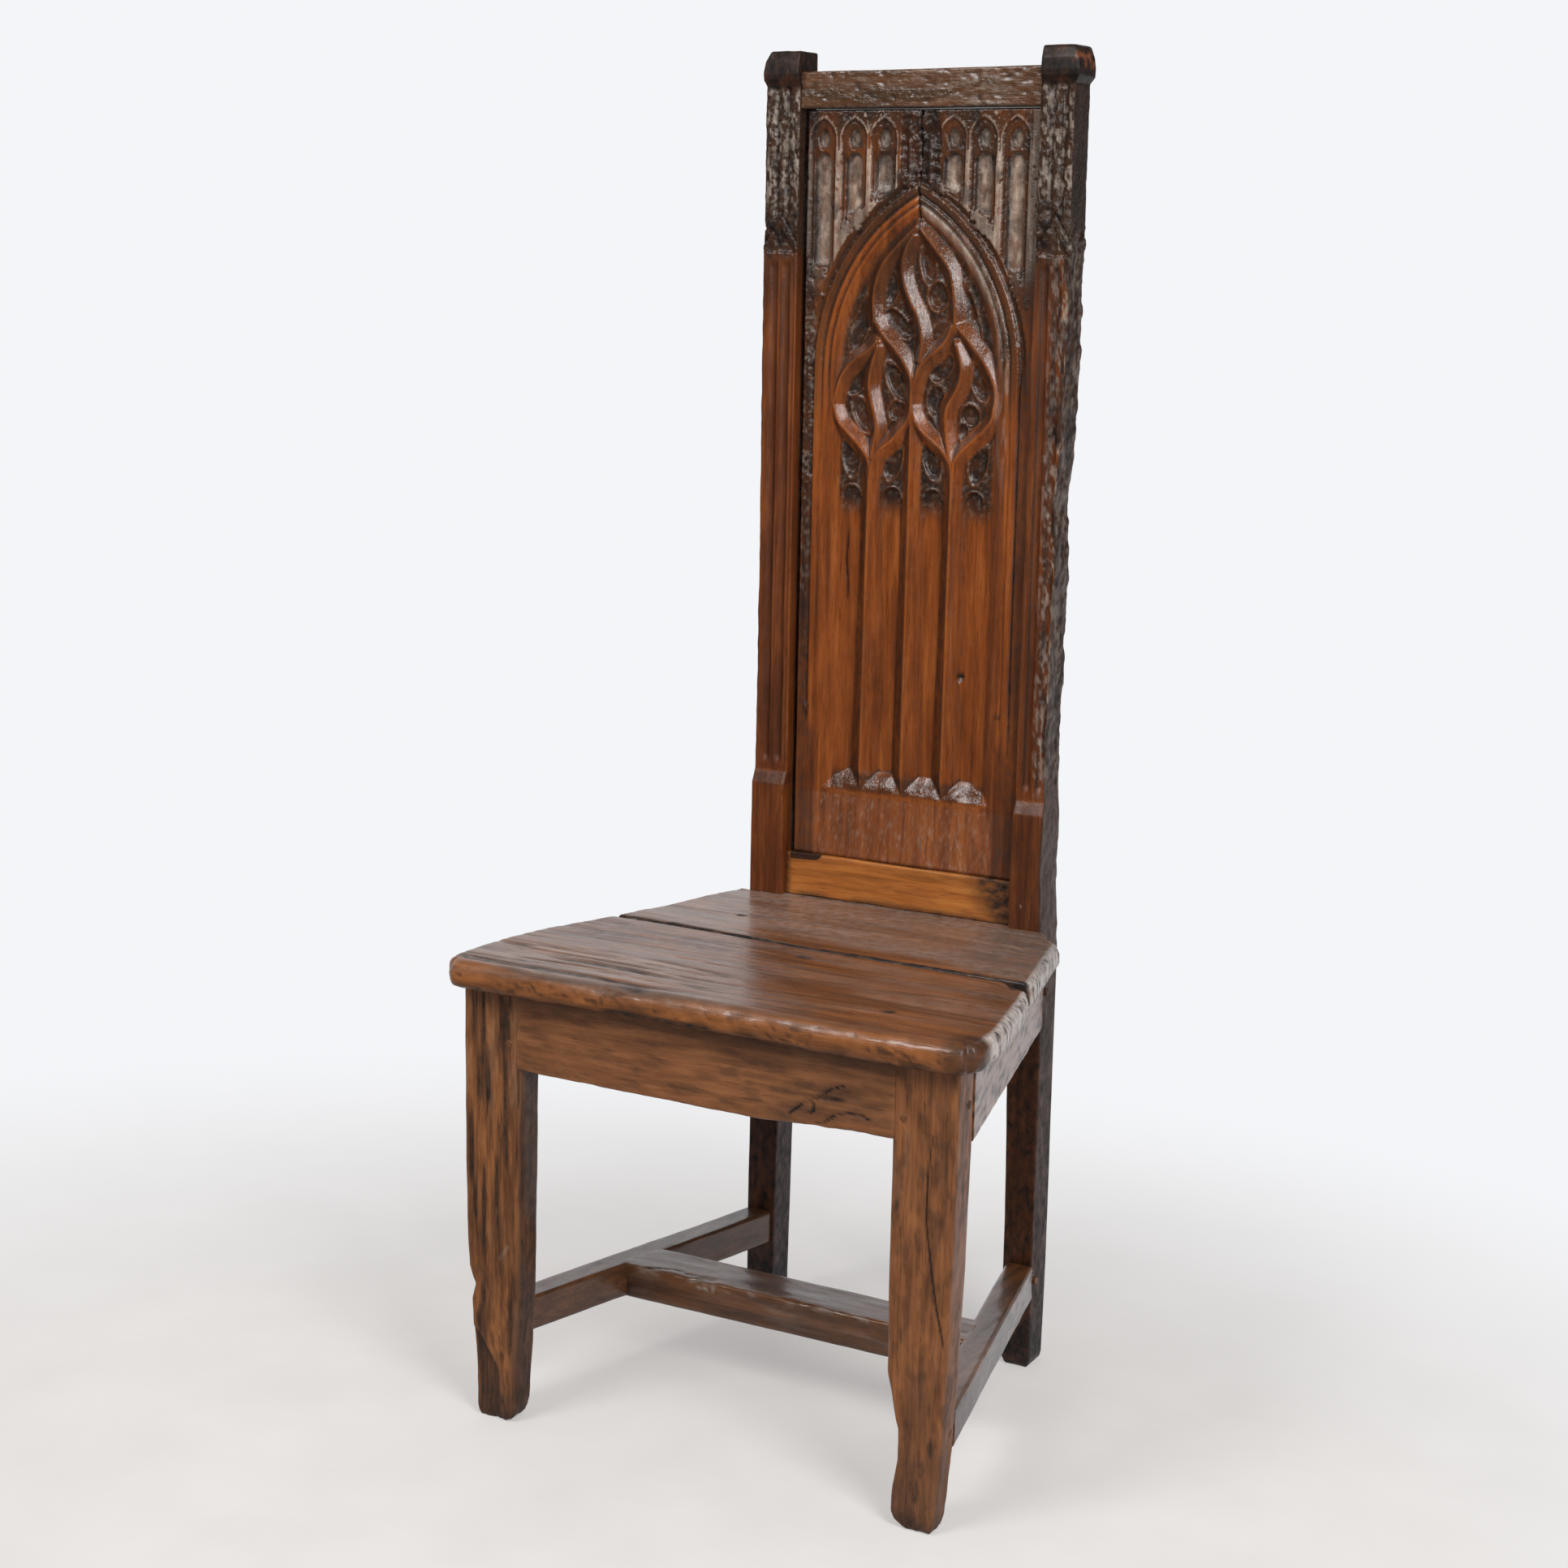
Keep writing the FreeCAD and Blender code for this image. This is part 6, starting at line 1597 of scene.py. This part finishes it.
@dataclass
class Pegs:
    """The round pegs through the joints, each a little proud of the face and cut with a knife.

    dome gives each ring of a peg's end: how far it is past the face, and its share of the radius.
    """

    sides: int = 14
    dome: Course = ((-1.0, 1.0), (0.0, 0.97), (0.2, 0.8), (0.35, 0.45))
    worn_leg: float = 255.5
    worn_below: float = 150.0
    front_until: float = 195.0
    back_face: float = 226.0
    clean: float = 0.08
    sooted: float = 0.7
    nodes: tuple[str, ...] = ("front_apron_pegs", "side_apron_pegs", "rear_apron_pegs", "side_stretcher_pegs",
                              "cross_stretcher_pegs", "top_rail_pegs", "lower_rail_pegs")

    def islands(self, node: str) -> list[Array]:
        """Finds each separate peg of a CAD node.

        Args:
            node: the CAD node's name.

        Returns:
            The low and high corner of each peg, in mm.
        """
        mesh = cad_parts[node].data
        owner = list(range(len(mesh.vertices)))
        spots: dict[tuple[int, ...], int] = {}

        def root(i: int) -> int:
            """Finds the point that stands for a whole peg.

            Args:
                i: any point of the peg.

            Returns:
                The same point for every point of that peg.
            """
            while owner[i] != i:
                owner[i] = owner[owner[i]]
                i = owner[i]
            return i

        for vertex in mesh.vertices:
            first = spots.setdefault(tuple(round(c * 1e5) for c in vertex.co), vertex.index)
            owner[root(vertex.index)] = root(first)
        for edge in mesh.edges:
            owner[root(edge.vertices[0])] = root(edge.vertices[1])
        groups: dict[int, list[Vector]] = {}
        for vertex in mesh.vertices:
            groups.setdefault(root(vertex.index), []).append(vertex.co / MM)
        return [np.array([np.min(g, axis=0), np.max(g, axis=0)]) for g in groups.values()]

    def build(self, finish: bpy.types.Material) -> None:
        """Makes every peg where the CAD has one.

        Args:
            finish: end grain oak.
        """
        for node in self.nodes:
            points, faces = [], []
            for number, corners in enumerate(self.islands(node)):
                self.one(corners, number, points, faces)
            made = np.array(points)
            dirt_and_shade = self.sooted if node == "side_apron_pegs" else self.clean
            skin = Skin(made, faces, made.copy(), {"dirt_and_shade": np.full(len(made), dirt_and_shade)})
            skin.make(node, "oak_pegs", finish)

    def one(self, corners: Array, number: int, points: list[Array], faces: list[list[int]]) -> None:
        """Adds one peg: a faceted shaft with a domed end on the outside.

        Args:
            corners: the CAD peg's low and high corner.
            number: the peg's place in its node.
            points: the points made so far, which this adds to.
            faces: the faces made so far, which this adds to.
        """
        size, middle = corners[1] - corners[0], corners.mean(0)
        spread = [abs(size[(w + 1) % 3] - size[(w + 2) % 3]) for w in range(3)]
        way = int(np.argmin(spread))
        radius = size[(way + 1) % 3] / 2
        in_front = way == 1 and middle[1] < self.front_until and corners[1][1] < self.back_face
        sign = float(np.sign(middle[0])) if way == 0 else -1.0 if way == 2 or in_front else 1.0
        outer = corners[1][way] if sign > 0 else corners[0][way]
        if way == 0 and middle[2] < self.worn_below and abs(outer) > self.worn_leg:
            outer = sign * self.worn_leg
        inner = corners[0][way] if sign > 0 else corners[1][way]
        rings = [(inner, 1.0), *((outer + sign * past, share) for past, share in self.dome)]
        start = len(points)
        for level, share in rings:
            for k in range(self.sides):
                turn = 2 * np.pi * k / self.sides + 0.4 * number
                wobble = 1 + 0.05 * sin(3 * turn + number)
                place = np.zeros(3)
                place[way] = level
                place[(way + 1) % 3] = middle[(way + 1) % 3] + radius * share * wobble * cos(turn)
                place[(way + 2) % 3] = middle[(way + 2) % 3] + radius * share * wobble * sin(turn)
                points.append(place)
        for ring in range(len(rings) - 1):
            for k in range(self.sides):
                a, b = start + ring * self.sides + k, start + ring * self.sides + (k + 1) % self.sides
                quad = [a, b, b + self.sides, a + self.sides]
                faces.append(quad if sign > 0 else quad[::-1])
        last = start + (len(rings) - 1) * self.sides
        end, root = [last + k for k in range(self.sides)], [start + k for k in range(self.sides)]
        faces.append(end if sign > 0 else end[::-1])
        faces.append(root[::-1] if sign > 0 else root)


@dataclass
class Studio:
    """A pale floor that runs into a white background, soft lamps and the camera."""

    camera_place: tuple[float, float, float] = (1212.27, -2234.48, 1120.28)
    yaw: float = 29.047
    pitch: float = -10.903
    roll: float = 1.126
    lens: float = 61.63
    sensor: float = 36.0
    lamps: tuple[tuple[str, Sequence[float], Sequence[float], float], ...] = (
        ("softbox on the right", (2.12, -1.54, 2.35), (1.0, 2.0), 66.0),
        ("softbox on the left", (-0.89, -2.45, 2.94), (1.2, 1.2), 54.0),
    )
    lamp_aim: tuple[float, float, float] = (0.0, 0.0, 0.75)
    floor_half: float = 12.0
    floor_level: float = -0.0002
    floor_colour: str = "#F6F3F0"
    smear_colour: str = "#DAD5D0"
    shade_colour: str = "#E4DEDA"
    fill_colour: str = "#F5F4F3"
    background: str = "#F4F5F8"

    def build(self) -> None:
        """Makes the floor, the world, the lamps and the camera."""
        self.make_floor()
        self.make_world()
        for lamp in self.lamps:
            self.make_lamp(*lamp)
        self.make_camera()
        bpy.context.scene.view_settings.view_transform = "Standard"

    def make_floor(self) -> None:
        """Makes the floor, which glows for the camera: near the chair the glow is painted light that lifts
        its shadows, and with distance from the chair it fades into the background.
        """
        half, level = self.floor_half, self.floor_level
        mesh = bpy.data.meshes.new("studio floor")
        corners = [(-half, -half, level), (half, -half, level), (half, half, level), (-half, half, level)]
        mesh.from_pydata(corners, [], [(0, 1, 2, 3)])
        # Matt paint, rolled on: pale and soft, with faint smears that still show in the shadow.
        made = bpy.data.materials.new("painted studio floor")
        made.use_nodes = True
        made.node_tree.nodes.clear()
        node = partial(add_node, made.node_tree)
        background = linear(self.background)
        place = node("ShaderNodeTexCoord").outputs["Object"]
        # Smears about 140 mm across.
        smears = node("ShaderNodeTexNoise", {"Vector": place, "Scale": 7.0, "Detail": 7.0}).outputs["Fac"]
        tint = node("ShaderNodeMix", {0: smears, 6: linear(self.smear_colour), 7: linear(self.floor_colour)},
                    data_type="RGBA").outputs[2]
        shader = node("ShaderNodeBsdfPrincipled", {"Base Color": tint, "Roughness": 0.55,
                                                   "Specular IOR Level": 0.25})
        # Painted light: for the camera the floor partly glows, least near the chair, more with distance and
        # towards the back.
        back = node("ShaderNodeSeparateXYZ", {0: place}).outputs["Y"]
        reach = node("ShaderNodeVectorMath", {0: place}, operation="LENGTH").outputs["Value"]
        reach = node("ShaderNodeMath", {0: back, 1: 0.55, 2: reach}, operation="MULTIPLY_ADD").outputs[0]
        fade = node("ShaderNodeMapRange", {"Value": reach, "From Min": 0.25, "From Max": 1.8, "To Min": 0.42},
                    interpolation_type="SMOOTHSTEP").outputs[0]
        far = node("ShaderNodeMix", {0: fade, 6: linear(self.shade_colour), 7: background},
                   data_type="RGBA").outputs[2]
        glow = node("ShaderNodeEmission", {"Color": far, "Strength": 1.0})
        path = node("ShaderNodeLightPath").outputs
        share = node("ShaderNodeMath", {0: path["Is Camera Ray"], 1: fade}, operation="MULTIPLY").outputs[0]
        seen = node("ShaderNodeMixShader", {0: share, 1: shader.outputs[0], 2: glow.outputs[0]})
        # Painted reflection: in reflections the floor is a glow, dim in front and bright behind.
        room = node("ShaderNodeMapRange", {"Value": back, "From Min": -0.5, "From Max": 0.5, "To Min": 0.06,
                                           "To Max": 0.85}).outputs[0]
        polish = node("ShaderNodeEmission", {"Color": background, "Strength": room})
        mirrored = node("ShaderNodeMath", {0: path["Is Glossy Ray"], 1: path["Is Transmission Ray"]},
                        operation="MAXIMUM").outputs[0]
        mix = node("ShaderNodeMixShader", {0: mirrored, 1: seen.outputs[0], 2: polish.outputs[0]})
        node("ShaderNodeOutputMaterial", {"Surface": mix.outputs[0]})
        mesh.materials.append(made)
        floor = bpy.data.objects.new("studio_floor", mesh)
        bpy.context.scene.collection.objects.link(floor)

    def make_world(self) -> None:
        """Makes a white background that shines in polish, darker on the side of the room, and a soft fill."""
        world = bpy.data.worlds.new("white studio")
        bpy.context.scene.world = world
        world.use_nodes = True
        world.node_tree.nodes.clear()
        node = partial(add_node, world.node_tree)
        background = linear(self.background)
        path = node("ShaderNodeLightPath").outputs
        way = node("ShaderNodeTexCoord").outputs["Generated"]
        toward = node("ShaderNodeVectorMath", {0: way, 1: (-0.75, 0.66, 0.0)}, operation="DOT_PRODUCT")
        behind = node("ShaderNodeMapRange", {"Value": toward.outputs["Value"], "From Min": 0.38,
                                             "From Max": 0.85, "To Min": 0.04, "To Max": 0.9}).outputs[0]
        seen = node("ShaderNodeBackground", {"Color": background, "Strength": 1.0})
        mirrored = node("ShaderNodeBackground", {"Color": background, "Strength": behind})
        fill = node("ShaderNodeBackground", {"Color": linear(self.fill_colour), "Strength": 0.42})
        glossy = node("ShaderNodeMath", {0: path["Is Glossy Ray"], 1: path["Is Transmission Ray"]},
                      operation="MAXIMUM").outputs[0]
        first = node("ShaderNodeMixShader", {0: glossy, 1: fill.outputs[0], 2: mirrored.outputs[0]})
        last = node("ShaderNodeMixShader", {0: path["Is Camera Ray"], 1: first.outputs[0],
                                            2: seen.outputs[0]})
        node("ShaderNodeOutputWorld", {"Surface": last.outputs[0]})

    def make_lamp(self, name: str, place: Sequence[float], size: Sequence[float], watts: float) -> None:
        """Adds one softbox.

        Args:
            name: what to call it.
            place: where it stands, in metres.
            size: its width and height in metres.
            watts: its power.
        """
        lamp = bpy.data.lights.new(name, "AREA")
        lamp.shape = "RECTANGLE"
        lamp.size, lamp.size_y = size
        lamp.energy = watts
        stand = bpy.data.objects.new(name, lamp)
        stand.location = place
        toward = Vector(self.lamp_aim) - Vector(place)
        stand.rotation_euler = toward.to_track_quat("-Z", "Y").to_euler()
        bpy.context.scene.collection.objects.link(stand)

    def make_camera(self) -> None:
        """Stands the camera where the photograph was taken from, with its slight roll."""
        yaw, pitch, roll = radians(self.yaw), radians(self.pitch), radians(self.roll)
        ahead = Vector((-sin(yaw) * cos(pitch), cos(yaw) * cos(pitch), sin(pitch)))
        right = Vector((cos(yaw), sin(yaw), 0))
        up = right.cross(ahead)
        right, up = cos(roll) * right + sin(roll) * up, cos(roll) * up - sin(roll) * right
        lens = bpy.data.cameras.new("camera")
        lens.lens = self.lens
        lens.sensor_width = self.sensor
        lens.clip_start, lens.clip_end = 0.05, 100.0
        camera = bpy.data.objects.new("camera", lens)
        turn = Matrix((right, up, -ahead)).transposed().to_4x4()
        camera.matrix_world = Matrix.Translation(Vector(self.camera_place) * MM) @ turn
        bpy.context.scene.collection.objects.link(camera)
        bpy.context.scene.camera = camera


def dress_hidden(finish: bpy.types.Material, nodes: Sequence[str]) -> None:
    """Gives the CAD pieces inside the joints their oak.

    Args:
        finish: an oak that reads its grain from each piece's place.
        nodes: the CAD nodes that stay as they are.
    """
    for node in nodes:
        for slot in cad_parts[node].material_slots:
            slot.material = finish
        LOG.info("dressed %s", node)


def main() -> None:
    """Builds the chair piece by piece and sets up the studio."""
    logging.basicConfig(level=logging.INFO, format="%(name)s: %(message)s")
    FrontLegs().build(LEFT_LEG_OAK.material(), RIGHT_LEG_OAK.material())
    Aprons().build(APRON_OAK.material())
    Stretchers().build(FRAME_OAK.material())
    Seat().build(SEAT_OAK.material())
    BackPosts().build(POST_OAK.material())
    BackRails().build(TOP_RAIL_OAK.material(), LOWER_RAIL_OAK.material(), SLIP_OAK.material())
    CarvedPanel().build(CARVED_OAK.material())
    Pegs().build(PEG_OAK.material())
    dress_hidden(PEG_OAK.material(Grain.OBJECT), ("seat_dowels",))
    dress_hidden(SLIP_OAK.material(Grain.OBJECT), ("seat_tongue",))
    Studio().build()


if __name__ == "__main__":
    main()
